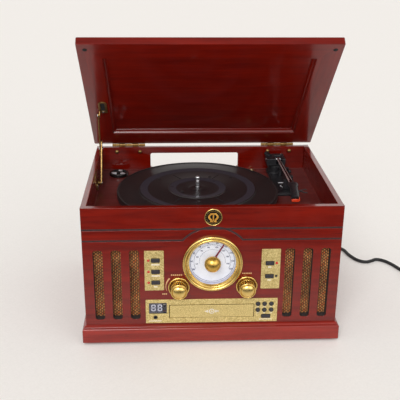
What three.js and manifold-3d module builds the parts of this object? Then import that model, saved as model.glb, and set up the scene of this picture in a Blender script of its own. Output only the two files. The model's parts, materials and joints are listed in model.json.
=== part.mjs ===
// A retro tabletop music centre: a wooden cabinet with a turntable under a hinged lid, a round radio
// dial with two knobs, push buttons, two speaker grilles and a CD drawer.
// Millimetres, +Z up, front towards -Y. The origin is the centre of the cabinet's underside.
import * as THREE from 'three';
import { mergeVertices } from 'three/addons/utils/BufferGeometryUtils.js';
import Module from 'manifold-3d';

const wasm = await Module();
wasm.setup();

// ---------------------------------------------------------------- driving dimensions
const WIDTH = 440;
const DEPTH = 339;
const RIM = 252.5;             // height of the cabinet's top edge above its underside
const WALL = 10;
const DECK_TOP = 203;
const DECK_THICK = 12;
const HALF = WIDTH / 2;
const FRONT = -DEPTH / 2;
const BACK = DEPTH / 2;
const INNER_X = HALF - WALL;
const INNER_FRONT = FRONT + WALL;
const INNER_BACK = BACK - WALL;
const GAP = 0.3;               // running clearance between pieces that move past each other

const PLINTH_SIDE = 6.3;       // how far the base moulding stands out at the sides
const PLINTH_FRONT = 8.6;
const PLINTH_HEIGHT = 31;
const FOOT = { x: 195, y: 140, r: 9, height: 4 };

const GROOVE = { upper: 213, lower: 192.5, width: 3, depth: 1.2 };
const DIAL = { x: 0.3, z: 149, bezel: 51.6, open: 40, arch: 67, pointer: 31 };
const KNOBS = { volume: [-57.4, 104.2], tuning: [59.9, 105.2], flange: 18.7, barrel: 12.8, cap: 14.4 };
const BADGE = { x: 0.3, z: 235, r: 15 };
const SLOTS = { centres: [133, 164, 194.5], width: 16.5, bottom: 41.5, top: 175, round: 5 };
const BAFFLE = 5;              // depth of the grille cloth's frame, which stands behind the front panel
const PLATE_THICK = 1.5;
const SOURCE_PLATE = { x0: -116, x1: -82.8, z0: 98.9, z1: 174.2 };
const BAND_PLATE = { x0: 84, x1: 116.6, z0: 99.5, z1: 175.1 };
const FASCIA = { x0: -115.3, x1: 115.3, z0: 33.8, z1: 80.2 };
const DRAWER = { half: 73.6, z0: 44.7, z1: 68.6 };
const DISPLAY = { x0: -110.6, x1: -75.4, z0: 51.3, z1: 74.7 };
const JACK = { x: -96.8, z: 45.3, r: 3.5 };
const KEY = { w: 14.2, h: 7, proud: 3.4, back: 12 };
const SOURCE_KEYS = [156.3, 134.9, 114.2].map((z) => [-97.1, z]);
const BAND_KEYS = [148.5, 123.6].map((z) => [98.7, z]);
const ROUND_KEYS = [69.4, 57.3].flatMap((z) => [81.1, 92.6, 104.6].map((x) => [x, z]));
const ROUND_KEY_R = 3.8;
const OPEN_KEY = { x: 95.4, z: 44.9, w: 15.5, h: 6.6 };

const LID = { width: 451, length: 340, thick: 14.8, recess: 8, margin: 41, open: 46.2 };
const HINGE = { y: BACK + 5, z: RIM + 0.5, x: 155, width: 68, barrel: 3.2, leaf: 1.5, knuckles: 5 };

const PLATTER = { x: -19, y: -1.5, r: 151, top: 223, thick: 12, ringR: 72, hole: 4 };
const MOTOR = { x: -112, y: 58, pulley: 6 };
const ADAPTER = { x: -174, y: 128, r: 19.5, height: 7 };
const ARM = { x: 146, y: 130.5, z: 234, axisX: 152 };

// Lid stay: both fixed pivots are the same distance from the lid's hinge line, and both arms are
// equally long, so the elbow always lies on the line that halves the angle between the pivots.
const STAY = { s: 128.9, drop: 6, below: 17, arm: 68, tail: 12, halfWidth: 4, thick: 2.4 };
const STAY_UPPER_X = -207.2;
const STAY_LOWER_X = -204.4;

// ---------------------------------------------------------------- materials
const finish = (color, roughness, metalness = 0) =>
  new THREE.MeshStandardMaterial({ color, roughness, metalness });
const MAHOGANY = finish(0x73150b, 0.3);
const BLACK = finish(0x17161a, 0.45);
const RUBBER = finish(0x1d1c20, 0.75);
const BRASS = finish(0xb08a3c, 0.3, 1);
const GOLD = finish(0xc89a3c, 0.2, 1);
const CHAMPAGNE = finish(0xc8b269, 0.45, 0.7);
const STEEL = finish(0xb8b8bc, 0.25, 1);
const CLOTH = finish(0x6a4a2c, 0.95);
const WHITE = finish(0xe6e6ea, 0.5);
const CRIMSON = finish(0x7a1430, 0.4);
const GLASS = finish(0xf2f6f8, 0.05);
const SMOKED = finish(0x2a2628, 0.1);
const GREEN = finish(0x1f5a34, 0.6);

// ---------------------------------------------------------------- solid helpers
const rad = THREE.MathUtils.degToRad;

// Merge shared vertices and drop the empty triangles that a lathe leaves on its axis.
function welded(geometry) {
  const bare = geometry.clone();
  bare.deleteAttribute('normal');
  bare.deleteAttribute('uv');
  const merged = mergeVertices(bare, 1e-4);
  const index = merged.getIndex().array;
  const keep = [];
  for (let i = 0; i < index.length; i += 3) {
    const [a, b, c] = [index[i], index[i + 1], index[i + 2]];
    if (a !== b && b !== c && c !== a) keep.push(a, b, c);
  }
  merged.setIndex(keep);
  return facingOut(merged);
}

function facingOut(geometry) {
  const p = geometry.getAttribute('position');
  const index = geometry.getIndex().array;
  const [a, b, c] = [new THREE.Vector3(), new THREE.Vector3(), new THREE.Vector3()];
  let volume = 0;
  for (let i = 0; i < index.length; i += 3) {
    a.fromBufferAttribute(p, index[i]);
    b.fromBufferAttribute(p, index[i + 1]);
    c.fromBufferAttribute(p, index[i + 2]);
    volume += a.dot(b.cross(c));
  }
  if (volume < 0) geometry.setIndex(Array.from(index).reverse());
  return geometry;
}

function toSolid(geometry) {
  const g = welded(geometry);
  return new wasm.Manifold(new wasm.Mesh({
    numProp: 3,
    vertProperties: new Float32Array(g.getAttribute('position').array),
    triVerts: new Uint32Array(g.getIndex().array),
  }));
}

function fromSolid(solid) {
  const mesh = solid.getMesh();
  const geometry = new THREE.BufferGeometry();
  geometry.setAttribute('position', new THREE.BufferAttribute(mesh.vertProperties, 3));
  geometry.setIndex(new THREE.BufferAttribute(mesh.triVerts, 1));
  return geometry;
}

const join = (first, ...rest) => fromSolid(rest.reduce((s, g) => s.add(toSolid(g)), toSolid(first)));
const cut = (first, ...rest) => fromSolid(rest.reduce((s, g) => s.subtract(toSolid(g)), toSolid(first)));
const common = (a, b) => fromSolid(toSolid(a).intersect(toSolid(b)));

// ---------------------------------------------------------------- shape helpers
const block = (x0, x1, y0, y1, z0, z1) =>
  new THREE.BoxGeometry(x1 - x0, y1 - y0, z1 - z0)
    .translate((x0 + x1) / 2, (y0 + y1) / 2, (z0 + z1) / 2);

function roundedRect(path, x0, x1, z0, z1, r) {
  path.moveTo(x0 + r, z0);
  path.lineTo(x1 - r, z0);
  path.absarc(x1 - r, z0 + r, r, -Math.PI / 2, 0, false);
  path.lineTo(x1, z1 - r);
  path.absarc(x1 - r, z1 - r, r, 0, Math.PI / 2, false);
  path.lineTo(x0 + r, z1);
  path.absarc(x0 + r, z1 - r, r, Math.PI / 2, Math.PI, false);
  path.lineTo(x0, z0 + r);
  path.absarc(x0 + r, z0 + r, r, Math.PI, 1.5 * Math.PI, false);
  return path;
}

function rect(path, x0, x1, z0, z1) {
  path.moveTo(x0, z0);
  path.lineTo(x1, z0);
  path.lineTo(x1, z1);
  path.lineTo(x0, z1);
  path.closePath();
  return path;
}

function circle(path, x, z, r) {
  path.absarc(x, z, r, 0, 2 * Math.PI, false);
  return path;
}

// An outline drawn in X and Z, thick from y = back towards the front (-Y).
function facing(outline, back, thick, steps = 4) {
  return new THREE.ExtrudeGeometry(outline, { depth: thick, bevelEnabled: false, curveSegments: steps })
    .rotateX(Math.PI / 2)
    .translate(0, back, 0);
}

// An outline drawn in X and Y, thick upwards from z = bottom.
function lying(outline, bottom, thick, steps = 12) {
  return new THREE.ExtrudeGeometry(outline, { depth: thick, bevelEnabled: false, curveSegments: steps })
    .translate(0, 0, bottom);
}

// An outline drawn in Y and Z, thick towards +X from x = side.
function sideways(outline, side, thick, steps = 6) {
  return new THREE.ExtrudeGeometry(outline, { depth: thick, bevelEnabled: false, curveSegments: steps })
    .rotateY(Math.PI / 2)
    .rotateX(Math.PI / 2)
    .translate(side, 0, 0);
}

// A turned piece on a vertical axis, from [radius, height] points.
const turned = (points, x, y, segments = 40) =>
  new THREE.LatheGeometry(points.map(([r, z]) => new THREE.Vector2(r, z)), segments)
    .rotateX(Math.PI / 2)
    .translate(x, y, 0);

// A turned piece on an axis along Y, from [radius, height in front of the front panel] points.
const turnedFacing = (points, x, z, segments = 40) =>
  new THREE.LatheGeometry(points.map(([r, out]) => new THREE.Vector2(r, out)), segments)
    .rotateX(Math.PI)
    .translate(x, FRONT, z);

const rodX = (r, x0, x1, y, z, segments = 16) =>
  new THREE.CylinderGeometry(r, r, x1 - x0, segments)
    .rotateZ(Math.PI / 2)
    .translate((x0 + x1) / 2, y, z);

const rodY = (r, y0, y1, x, z, segments = 16) =>
  new THREE.CylinderGeometry(r, r, y1 - y0, segments).translate(x, (y0 + y1) / 2, z);

const rodZ = (r, z0, z1, x, y, segments = 20) =>
  new THREE.CylinderGeometry(r, r, z1 - z0, segments)
    .rotateX(Math.PI / 2)
    .translate(x, y, (z0 + z1) / 2);

// ---------------------------------------------------------------- assembly
const musicCentre = new THREE.Group();

function add(name, geometry, material, parent = musicCentre) {
  const mesh = new THREE.Mesh(welded(geometry), material);
  mesh.name = name;
  parent.add(mesh);
  return mesh;
}

// ---------------------------------------------------------------- cabinet
// The base moulding is a skirting round the front and sides with a stepped, chamfered top.
function plinth() {
  const profile = (out) => [
    [out, 0], [out, 25], [out - 2, 27.5], [out - 3.5, 27.5], [out - 3.5, 29.5], [out - 5, PLINTH_HEIGHT],
  ];
  const along = new THREE.Shape();
  const sideEdge = profile(PLINTH_SIDE);
  along.moveTo(HALF + sideEdge[0][0], 0);
  sideEdge.slice(1).forEach(([out, z]) => along.lineTo(HALF + out, z));
  sideEdge.slice().reverse().forEach(([out, z]) => along.lineTo(-HALF - out, z));
  along.closePath();
  const sidesShape = facing(along, BACK, DEPTH + 2 * PLINTH_FRONT);
  const across = new THREE.Shape();
  const frontEdge = profile(PLINTH_FRONT);
  across.moveTo(FRONT - frontEdge[0][0], 0);
  frontEdge.slice(1).forEach(([out, z]) => across.lineTo(FRONT - out, z));
  across.lineTo(BACK, PLINTH_HEIGHT);
  across.lineTo(BACK, 0);
  across.closePath();
  const frontShape = sideways(across, -WIDTH, 2 * WIDTH);
  return cut(common(sidesShape, frontShape), block(-HALF, HALF, FRONT, BACK + 1, -1, PLINTH_HEIGHT + 1));
}
add('plinth', plinth(), MAHOGANY);

const feet = [-1, 1].flatMap((sx) => [-1, 1].map((sy) =>
  rodZ(FOOT.r, -FOOT.height, 1, sx * FOOT.x, sy * FOOT.y, 16)));
add('bottom_panel', join(block(-INNER_X, INNER_X, INNER_FRONT, INNER_BACK, 0, 9), ...feet), BLACK);

// Grooves run round the front and both sides; the lower one arches over the dial.
const grooveBand = (z, x0, x1) =>
  block(x0, x1, FRONT - 1, FRONT + GROOVE.depth, z - GROOVE.width / 2, z + GROOVE.width / 2);
const grooveArch = () => {
  const start = Math.asin((GROOVE.lower - DIAL.z) / DIAL.arch);
  const shape = new THREE.Shape();
  shape.absarc(DIAL.x, DIAL.z, DIAL.arch + GROOVE.width / 2, start, Math.PI - start, false);
  shape.absarc(DIAL.x, DIAL.z, DIAL.arch - GROOVE.width / 2, Math.PI - start, start, true);
  return facing(shape, FRONT + GROOVE.depth, GROOVE.depth + 1, 20);
};

function frontPanel() {
  const outline = rect(new THREE.Shape(), -HALF, HALF, 0, RIM);
  const hole = (path) => outline.holes.push(path);
  for (const side of [-1, 1]) {
    for (const x of SLOTS.centres) {
      const [x0, x1] = [side * x - SLOTS.width / 2, side * x + SLOTS.width / 2];
      hole(roundedRect(new THREE.Path(), x0, x1, SLOTS.bottom, SLOTS.top, SLOTS.round));
    }
  }
  for (const [x, z] of [...SOURCE_KEYS, ...BAND_KEYS]) {
    hole(rect(new THREE.Path(), x - KEY.w / 2 - 1, x + KEY.w / 2 + 1, z - KEY.h / 2 - 1, z + KEY.h / 2 + 1));
  }
  const keypad = [75.5, 111.5, 41, 74.5];
  hole(rect(new THREE.Path(), ...keypad));
  hole(rect(new THREE.Path(), -DRAWER.half - 1.2, DRAWER.half + 1.2, DRAWER.z0 - 1.2, DRAWER.z1 + 1.2));
  hole(rect(new THREE.Path(), DISPLAY.x0 - 1, DISPLAY.x1 - 1, JACK.z - 5, DISPLAY.z1 + 1));
  const arcX = Math.sqrt(DIAL.arch ** 2 - (GROOVE.lower - DIAL.z) ** 2);
  const through = (r, x, z, segments) => rodY(r, FRONT - 1, INNER_FRONT + 1, x, z, segments);
  return cut(
    facing(outline, INNER_FRONT, WALL, 3),
    through(43.4, DIAL.x, DIAL.z, 48),
    through(4, ...KNOBS.volume, 14),
    through(4, ...KNOBS.tuning, 14),
    grooveBand(GROOVE.upper, -HALF - 1, HALF + 1),
    grooveBand(GROOVE.lower, -HALF - 1, DIAL.x - arcX),
    grooveBand(GROOVE.lower, DIAL.x + arcX, HALF + 1),
    grooveArch(),
    ...[-1, 1].flatMap((side) => [GROOVE.upper, GROOVE.lower].map((z) => sideNotch(side, z))),
  );
}

function sideNotch(side, z) {
  const x = [side * (HALF - GROOVE.depth), side * (HALF + 1)].sort((a, b) => a - b);
  return block(x[0], x[1], FRONT - 1, BACK + 1, z - GROOVE.width / 2, z + GROOVE.width / 2);
}
add('front_panel', frontPanel(), MAHOGANY);

for (const [name, side] of [['side_panel_left', -1], ['side_panel_right', 1]]) {
  const x = [side * INNER_X, side * HALF].sort((a, b) => a - b);
  const panel = block(x[0], x[1], INNER_FRONT, BACK, 0, RIM);
  add(name, cut(panel, sideNotch(side, GROOVE.upper), sideNotch(side, GROOVE.lower)), MAHOGANY);
}

// The back has a rounded slot at deck height, so the edge of a record clears it.
const JACK_PLATE = { x0: 50, x1: 160, z0: 50, z1: 100 };
const CORD_EXIT = { x: 130, z: 62 };
function backPanel() {
  const outline = rect(new THREE.Shape(), -INNER_X, INNER_X, 0, RIM);
  outline.holes.push(roundedRect(new THREE.Path(), PLATTER.x - 91, PLATTER.x + 91, 207, 239.5, 4));
  const edge = 6;
  outline.holes.push(rect(
    new THREE.Path(), JACK_PLATE.x0 + edge, JACK_PLATE.x1 - edge, JACK_PLATE.z0 + edge, JACK_PLATE.z1 - edge,
  ));
  return facing(outline, BACK, WALL, 5);
}
add('back_panel', backPanel(), MAHOGANY);

function deckBoard() {
  const outline = rect(new THREE.Shape(), -INNER_X, INNER_X, INNER_FRONT, INNER_BACK);
  outline.holes.push(circle(new THREE.Path(), PLATTER.x, PLATTER.y, 9));
  outline.holes.push(circle(new THREE.Path(), MOTOR.x, MOTOR.y, 11));
  return lying(outline, DECK_TOP - DECK_THICK, DECK_THICK, 8);
}
add('deck_board', deckBoard(), MAHOGANY);

function rearJackPlate() {
  const { x0, x1, z0, z1 } = JACK_PLATE;
  const sockets = [72, 90].map((x) => rodY(4.5, BACK + 1, BACK + 10, x, 82, 14));
  const aerial = rodY(4, BACK + 1, BACK + 7, 72, 62, 14);
  const switchBody = block(104, 118, BACK + 1, BACK + 6, 76, 88);
  const plate = block(x0, x1, BACK, BACK + 2, z0, z1);
  const cordHole = rodY(5.6, BACK - 1, BACK + 4, CORD_EXIT.x, CORD_EXIT.z, 14);
  return cut(join(plate, ...sockets, aerial, switchBody), cordHole);
}
add('rear_jack_plate', rearJackPlate(), BLACK);

// ---------------------------------------------------------------- speakers
for (const [side, sign] of [['left', -1], ['right', 1]]) {
  const x = sign * SLOTS.centres[1];
  const z = (SLOTS.bottom + SLOTS.top) / 2;
  const cloth = block(x - 43, x + 43, INNER_FRONT + BAFFLE, INNER_FRONT + BAFFLE + 1.5, 34, 182);
  add(`grille_cloth_${side}`, cloth, CLOTH);
  const behind = (depth) => -WALL - BAFFLE - depth;
  const driver = turnedFacing([
    [0, behind(44)], [24, behind(44)], [24, behind(30)], [16, behind(30)], [16, behind(22)],
    [36, behind(6)], [42, behind(6)], [42, behind(2.4)], [35, behind(2.4)], [13, behind(17)],
    [8, behind(14)], [0, behind(12.5)],
  ], x, z, 22);
  add(`speaker_${side}`, driver, BLACK);
}

// ---------------------------------------------------------------- badge and radio dial
add('badge', turnedFacing([
  [0, 0], [BADGE.r, 0], [BADGE.r, 1], [BADGE.r - 1.2, 2.2], [BADGE.r - 2.6, 1.4], [0, 2],
], BADGE.x, BADGE.z, 32), GOLD);

const TUBE = DIAL.open;
add('dial_bezel', turnedFacing([
  [DIAL.bezel, 0], [DIAL.bezel - 0.4, 3], [49, 5.5], [46, 6.2], [43, 5.2], [TUBE + 0.5, 3],
  [TUBE, 0], [TUBE, -7], [42.6, -7], [42.6, 0], [DIAL.bezel, 0],
], DIAL.x, DIAL.z, 44), GOLD);

add('dial_face', turnedFacing([
  [2.2, -8.8], [42.5, -8.8], [42.5, -7.3], [2.2, -7.3], [2.2, -8.8],
], DIAL.x, DIAL.z, 36), WHITE);

// The lens is a clear ring: the pointer's boss comes forward through its middle.
add('dial_lens', turnedFacing([
  [6.4, -0.7], [24, -1.3], [TUBE - GAP, -3], [TUBE - GAP, -2], [24, -0.1], [6.4, 0.5], [6.4, -0.7],
], DIAL.x, DIAL.z, 32), GLASS);

// A tall gilt dome on the tuning shaft carries the pointer, which lies close in front of the dial.
function dialPointer() {
  const dome = turnedFacing([
    [0, -14], [1.8, -14], [1.8, -6.6], [6, -6.6], [6, 1.6], [13.6, 1.6], [14.3, 2.4], [14.3, 3.5],
    [13.8, 7], [12.2, 10.3], [9.2, 13.5], [5, 15.8], [0, 16.5],
  ], 0, 0, 28);
  const needle = new THREE.Shape();
  needle.moveTo(-1.4, 5);
  needle.lineTo(1.4, 5);
  needle.lineTo(1, 39);
  needle.lineTo(-1, 39);
  needle.closePath();
  return join(dome, facing(needle, FRONT + 6.4, 1)).rotateY(rad(DIAL.pointer)).translate(DIAL.x, 0, DIAL.z);
}
add('dial_pointer', dialPointer(), CRIMSON);

const knob = ([x, z]) => turnedFacing([
  [0, -13], [3.2, -13], [3.2, 0.5], [KNOBS.flange, 0.5], [KNOBS.flange, 2], [17.4, 3.2],
  [KNOBS.barrel, 3.4], [KNOBS.barrel, 18.4], [KNOBS.cap - 0.4, 19.2], [KNOBS.cap, 20.6],
  [KNOBS.cap - 0.6, 22], [12, 22.2], [8.5, 24], [4, 25.2], [0, 25.5],
], x, z, 26);
add('volume_knob', knob(KNOBS.volume), GOLD);
add('tuning_knob', knob(KNOBS.tuning), GOLD);

// ---------------------------------------------------------------- plates and push buttons
function keyPlate(plate, keys) {
  const outline = roundedRect(new THREE.Shape(), plate.x0, plate.x1, plate.z0, plate.z1, 1);
  for (const [x, z] of keys) {
    const [w, h] = [KEY.w / 2 + GAP, KEY.h / 2 + GAP];
    outline.holes.push(rect(new THREE.Path(), x - w, x + w, z - h, z + h));
  }
  return facing(outline, FRONT, PLATE_THICK, 2);
}
add('source_plate', keyPlate(SOURCE_PLATE, SOURCE_KEYS), CHAMPAGNE);
add('band_plate', keyPlate(BAND_PLATE, BAND_KEYS), CHAMPAGNE);

const rectKey = (x, z, w, h) => facing(
  roundedRect(new THREE.Shape(), x - w / 2, x + w / 2, z - h / 2, z + h / 2, 1.2),
  FRONT + KEY.back, KEY.back + KEY.proud, 2);
SOURCE_KEYS.forEach(([x, z], i) => add(`source_button_${i + 1}`, rectKey(x, z, KEY.w, KEY.h), BLACK));
BAND_KEYS.forEach(([x, z], i) => add(`band_button_${i + 1}`, rectKey(x, z, KEY.w, KEY.h), BLACK));

// ---------------------------------------------------------------- CD section
function cdFascia() {
  const outline = roundedRect(new THREE.Shape(), FASCIA.x0, FASCIA.x1, FASCIA.z0, FASCIA.z1, 1);
  const hole = (path) => outline.holes.push(path);
  hole(rect(new THREE.Path(), -DRAWER.half - 0.6, DRAWER.half + 0.6, DRAWER.z0 - 0.6, DRAWER.z1 + 0.6));
  hole(rect(new THREE.Path(), DISPLAY.x0 + 1, DISPLAY.x1 - 1.2, DISPLAY.z0 + 1, DISPLAY.z1 - 1));
  hole(circle(new THREE.Path(), JACK.x, JACK.z, JACK.r));
  ROUND_KEYS.forEach(([x, z]) => hole(circle(new THREE.Path(), x, z, ROUND_KEY_R + GAP)));
  const [w, h] = [OPEN_KEY.w / 2 + GAP, OPEN_KEY.h / 2 + GAP];
  hole(rect(new THREE.Path(), OPEN_KEY.x - w, OPEN_KEY.x + w, OPEN_KEY.z - h, OPEN_KEY.z + h));
  return facing(outline, FRONT, PLATE_THICK, 5);
}
add('cd_fascia', cdFascia(), CHAMPAGNE);

add('display_window', block(DISPLAY.x0 - 0.4, DISPLAY.x1 - 1.6, FRONT + GAP, FRONT + 2.3,
  DISPLAY.z0 - 0.4, DISPLAY.z1 + 0.4), SMOKED);

ROUND_KEYS.forEach(([x, z], i) => {
  const button = turnedFacing([
    [0, -KEY.back], [ROUND_KEY_R, -KEY.back], [ROUND_KEY_R, 2.6], [ROUND_KEY_R - 0.8, 3.3], [0, 3.5],
  ], x, z, 20);
  add(`cd_button_${i + 1}`, button, BLACK);
});
add('open_button', rectKey(OPEN_KEY.x, OPEN_KEY.z, OPEN_KEY.w, OPEN_KEY.h), BLACK);

// The drawer is a front slab with a tray behind it; the tray has a round seat for a disc.
const TRAY = { half: 66, z0: 50, z1: 61, discR: 61, seat: 3, y1: -32 };
const DISC_Y = FRONT + 68;
function cdTray() {
  const slab = block(-DRAWER.half, DRAWER.half, FRONT - 2.2, FRONT + 3, DRAWER.z0, DRAWER.z1);
  const bed = block(-TRAY.half, TRAY.half, FRONT + 2, TRAY.y1, TRAY.z0, TRAY.z1);
  const seat = rodZ(TRAY.discR, TRAY.z1 - TRAY.seat, TRAY.z1 + 2, 0, DISC_Y, 40);
  const opening = block(-17, 17, DISC_Y - 17, TRAY.y1 + 1, TRAY.z0 - 1, TRAY.z1 + 1);
  return cut(join(slab, bed), seat, opening);
}
add('cd_tray', cdTray(), CHAMPAGNE);

add('cd_mechanism', cut(
  block(-76, 76, INNER_FRONT + 1, 10, 40, 74),
  block(-TRAY.half - 1.5, TRAY.half + 1.5, INNER_FRONT, -25, TRAY.z0 - 2, TRAY.z1 + 4),
), BLACK);

// ---------------------------------------------------------------- electronics
add('main_board', join(
  block(40, 195, -10, 120, 14, 16),
  block(120, 175, 20, 75, 15.5, 62),
  block(56, 100, 40, 56, 15.5, 45),
  rodZ(8, 15.5, 40, 80, 90),
), GREEN);

// The mains cord leaves the back, drops to the floor and runs out to the right, ending in a plug.
function powerCord() {
  const floor = 3.5 - FOOT.height;
  const path = new THREE.CatmullRomCurve3([
    new THREE.Vector3(CORD_EXIT.x, BACK - 12, CORD_EXIT.z),
    new THREE.Vector3(CORD_EXIT.x, BACK + 16, CORD_EXIT.z),
    new THREE.Vector3(CORD_EXIT.x + 24, BACK + 34, CORD_EXIT.z - 28),
    new THREE.Vector3(190, BACK + 36, 14),
    new THREE.Vector3(238, BACK + 38, floor + 0.5),
    new THREE.Vector3(290, BACK + 36, floor),
    new THREE.Vector3(316, BACK + 22, floor),
    new THREE.Vector3(327, BACK - 12, floor),
    new THREE.Vector3(342, BACK - 39, floor),
    new THREE.Vector3(356, BACK - 45, floor),
    new THREE.Vector3(369, BACK - 40, floor),
    new THREE.Vector3(381, BACK - 34, floor),
    new THREE.Vector3(393, BACK - 39, floor),
    new THREE.Vector3(405, BACK - 53, floor),
    new THREE.Vector3(419, BACK - 82, floor),
    new THREE.Vector3(433, BACK - 110, floor),
  ]);
  const section = circle(new THREE.Shape(), 0, 0, 3.4);
  const cord = new THREE.ExtrudeGeometry(section, {
    steps: 56, bevelEnabled: false, curveSegments: 4, extrudePath: path,
  });
  const aim = -Math.atan2(28, 14);
  const plug = join(
    block(-2, 26, -8, 8, -3, 11),
    block(25, 42, -7, -5.4, 1, 7),
    block(25, 42, 5.4, 7, 1, 7),
  ).rotateZ(aim).translate(432, BACK - 108, floor);
  return join(cord, plug);
}
add('power_cord', powerCord(), BLACK);

// ---------------------------------------------------------------- lid and hinges
// Lid pieces are placed relative to the hinge line as they lie when closed, then swung open.
const lidGroup = new THREE.Group();
lidGroup.position.set(0, HINGE.y, HINGE.z);
lidGroup.rotation.x = -rad(LID.open);
musicCentre.add(lidGroup);

const LID_BACK = BACK - HINGE.y;
const LID_FRONT = LID_BACK - LID.length;
add('lid', cut(
  block(-LID.width / 2, LID.width / 2, LID_FRONT, LID_BACK, 0, LID.thick),
  block(LID.margin - LID.width / 2, LID.width / 2 - LID.margin, LID_FRONT + LID.margin, LID_BACK - LID.margin,
    -1, LID.recess),
), MAHOGANY, lidGroup);

// A hinge leaf lies on the back of its panel and carries every second knuckle of the barrel.
function hingeLeaf(x, y, z, edge, first) {
  const pitch = HINGE.width / HINGE.knuckles;
  const start = x - HINGE.width / 2;
  const face = y + BACK - HINGE.y;
  const zs = [z + 1.5 * edge, z + 16 * edge].sort((a, b) => a - b);
  const pieces = [block(start, start + HINGE.width, face + GAP, face + GAP + HINGE.leaf, ...zs)];
  for (let i = first; i < HINGE.knuckles; i += 2) {
    const [x0, x1] = [start + i * pitch + 0.15, start + (i + 1) * pitch - 0.15];
    const web = [z, z + 3 * edge].sort((a, b) => a - b);
    pieces.push(rodX(HINGE.barrel, x0, x1, y, z, 12));
    pieces.push(block(x0, x1, face + GAP, y, ...web));
  }
  return clearKnuckles(join(...pieces), x, y, z, 1 - first);
}

// Room in a leaf for the other leaf's knuckles.
function clearKnuckles(leaf, x, y, z, first) {
  const pitch = HINGE.width / HINGE.knuckles;
  const start = x - HINGE.width / 2;
  const rooms = [];
  for (let i = first; i < HINGE.knuckles; i += 2) {
    const [x0, x1] = [start + i * pitch - 0.15, start + (i + 1) * pitch + 0.15];
    rooms.push(rodX(HINGE.barrel + 1, x0, x1, y, z, 12));
  }
  return cut(leaf, ...rooms);
}

for (const [side, sign] of [['left', -1], ['right', 1]]) {
  add(`hinge_${side}_body_leaf`, hingeLeaf(sign * HINGE.x, HINGE.y, HINGE.z, -1, 0), BRASS);
  add(`hinge_${side}_lid_leaf`, hingeLeaf(sign * HINGE.x, 0, 0, 1, 1), BRASS, lidGroup);
}

// ---------------------------------------------------------------- lid stay
const stayRadius = Math.hypot(STAY.s, STAY.drop);
const lidPivot = new THREE.Vector2(-STAY.s, -STAY.drop).rotateAround(new THREE.Vector2(), -rad(LID.open));
const wallPivot = new THREE.Vector2(-stayRadius, 0).rotateAround(new THREE.Vector2(), rad(STAY.below));
const between = lidPivot.clone().sub(wallPivot);
const elbowBend = Math.acos(between.length() / 2 / STAY.arm);

// An arm drawn from its fixed pivot along +Y, with a tail past the elbow rivet.
function stayArm(side, angle, pivot) {
  const end = STAY.arm + STAY.tail;
  const shape = new THREE.Shape();
  shape.absarc(0, 0, STAY.halfWidth, Math.PI / 2, 1.5 * Math.PI, false);
  shape.absarc(end, 0, STAY.halfWidth, -Math.PI / 2, Math.PI / 2, false);
  return sideways(shape, side, STAY.thick, 6)
    .rotateX(angle)
    .translate(0, HINGE.y + pivot.x, HINGE.z + pivot.y);
}
const lowerAngle = between.angle() - elbowBend;
const upperAngle = between.angle() + Math.PI + elbowBend;
add('stay_lower_arm', stayArm(STAY_LOWER_X, lowerAngle, wallPivot), BRASS);
add('stay_upper_arm', stayArm(STAY_UPPER_X, upperAngle, lidPivot), BRASS);

const wallY = HINGE.y + wallPivot.x;
const wallZ = HINGE.z + wallPivot.y;
add('stay_base_bracket', join(
  block(-INNER_X + GAP, -INNER_X + 1.6, wallY - 26, wallY + 9, wallZ - 8, wallZ + 8),
  rodX(4.5, -INNER_X + 1, STAY_LOWER_X - GAP, wallY, wallZ),
), BRASS);

// A flat plate under the lid with a drop ear for the upper arm's rivet.
const EAR_X = STAY_UPPER_X + STAY.thick + GAP;
add('stay_lid_bracket', join(
  block(EAR_X, -188, -STAY.s - 39, -STAY.s - 1, -1.7, -GAP),
  block(EAR_X, EAR_X + 1.6, -STAY.s - 7, -STAY.s + 6, -STAY.drop - 4.5, -GAP),
), BRASS, lidGroup);

// ---------------------------------------------------------------- turntable
const P = PLATTER;
const under = P.top - P.thick + 4;
add('platter', turned([
  [P.hole, 205], [13, 205], [13, under], [P.ringR - 4, under], [P.ringR - 4, 205.5], [P.ringR, 205.5],
  [P.ringR, under], [P.r - 7, under], [P.r - 7, P.top - P.thick], [P.r, P.top - P.thick],
  [P.r, P.top - 1.5], [P.r - 1.5, P.top], [P.r - 4, P.top - 1.4], [111, P.top - 1.4], [108.6, P.top + 1.3],
  [93, P.top], [56, P.top], [53.8, P.top + 1.2], [40, P.top - 0.2], [P.hole, P.top - 0.2], [P.hole, 205],
], P.x, P.y, 44), BLACK);

add('spindle', turned([
  [0, 192], [3.6, 192], [3.6, 240], [4.3, 240.5], [4.3, 244], [3, 246.5], [0, 247.5],
], P.x, P.y, 20), STEEL);

add('motor', rodZ(17, 160, DECK_TOP - DECK_THICK - GAP, MOTOR.x, MOTOR.y, 24), STEEL);
const beltZ = 207.5;
add('motor_pulley', turned([
  [0, 191.5], [1.6, 191.5], [1.6, 205], [7.4, 205], [7.4, 206.6], [MOTOR.pulley, 207],
  [MOTOR.pulley, 211.8], [7.4, 212.2], [7.4, 213], [0, 213],
], MOTOR.x, MOTOR.y, 24), BRASS);

// The flat belt is the outline round two circles, less the same outline a belt's thickness inside.
function driveBelt() {
  const dx = MOTOR.x - P.x;
  const dy = MOTOR.y - P.y;
  const span = Math.hypot(dx, dy);
  const aim = Math.atan2(dy, dx);
  const loop = (path, grow) => {
    const [ring, pulley] = [P.ringR + grow, MOTOR.pulley + grow];
    const wrap = Math.acos((ring - pulley) / span);
    path.absarc(P.x, P.y, ring, aim + wrap, aim + 2 * Math.PI - wrap, false);
    path.absarc(MOTOR.x, MOTOR.y, pulley, aim - wrap, aim + wrap, false);
    return path;
  };
  const outline = loop(new THREE.Shape(), 1.1);
  outline.holes.push(loop(new THREE.Path(), GAP));
  return lying(outline, beltZ, 3.5, 14);
}
add('drive_belt', driveBelt(), RUBBER);

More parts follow.
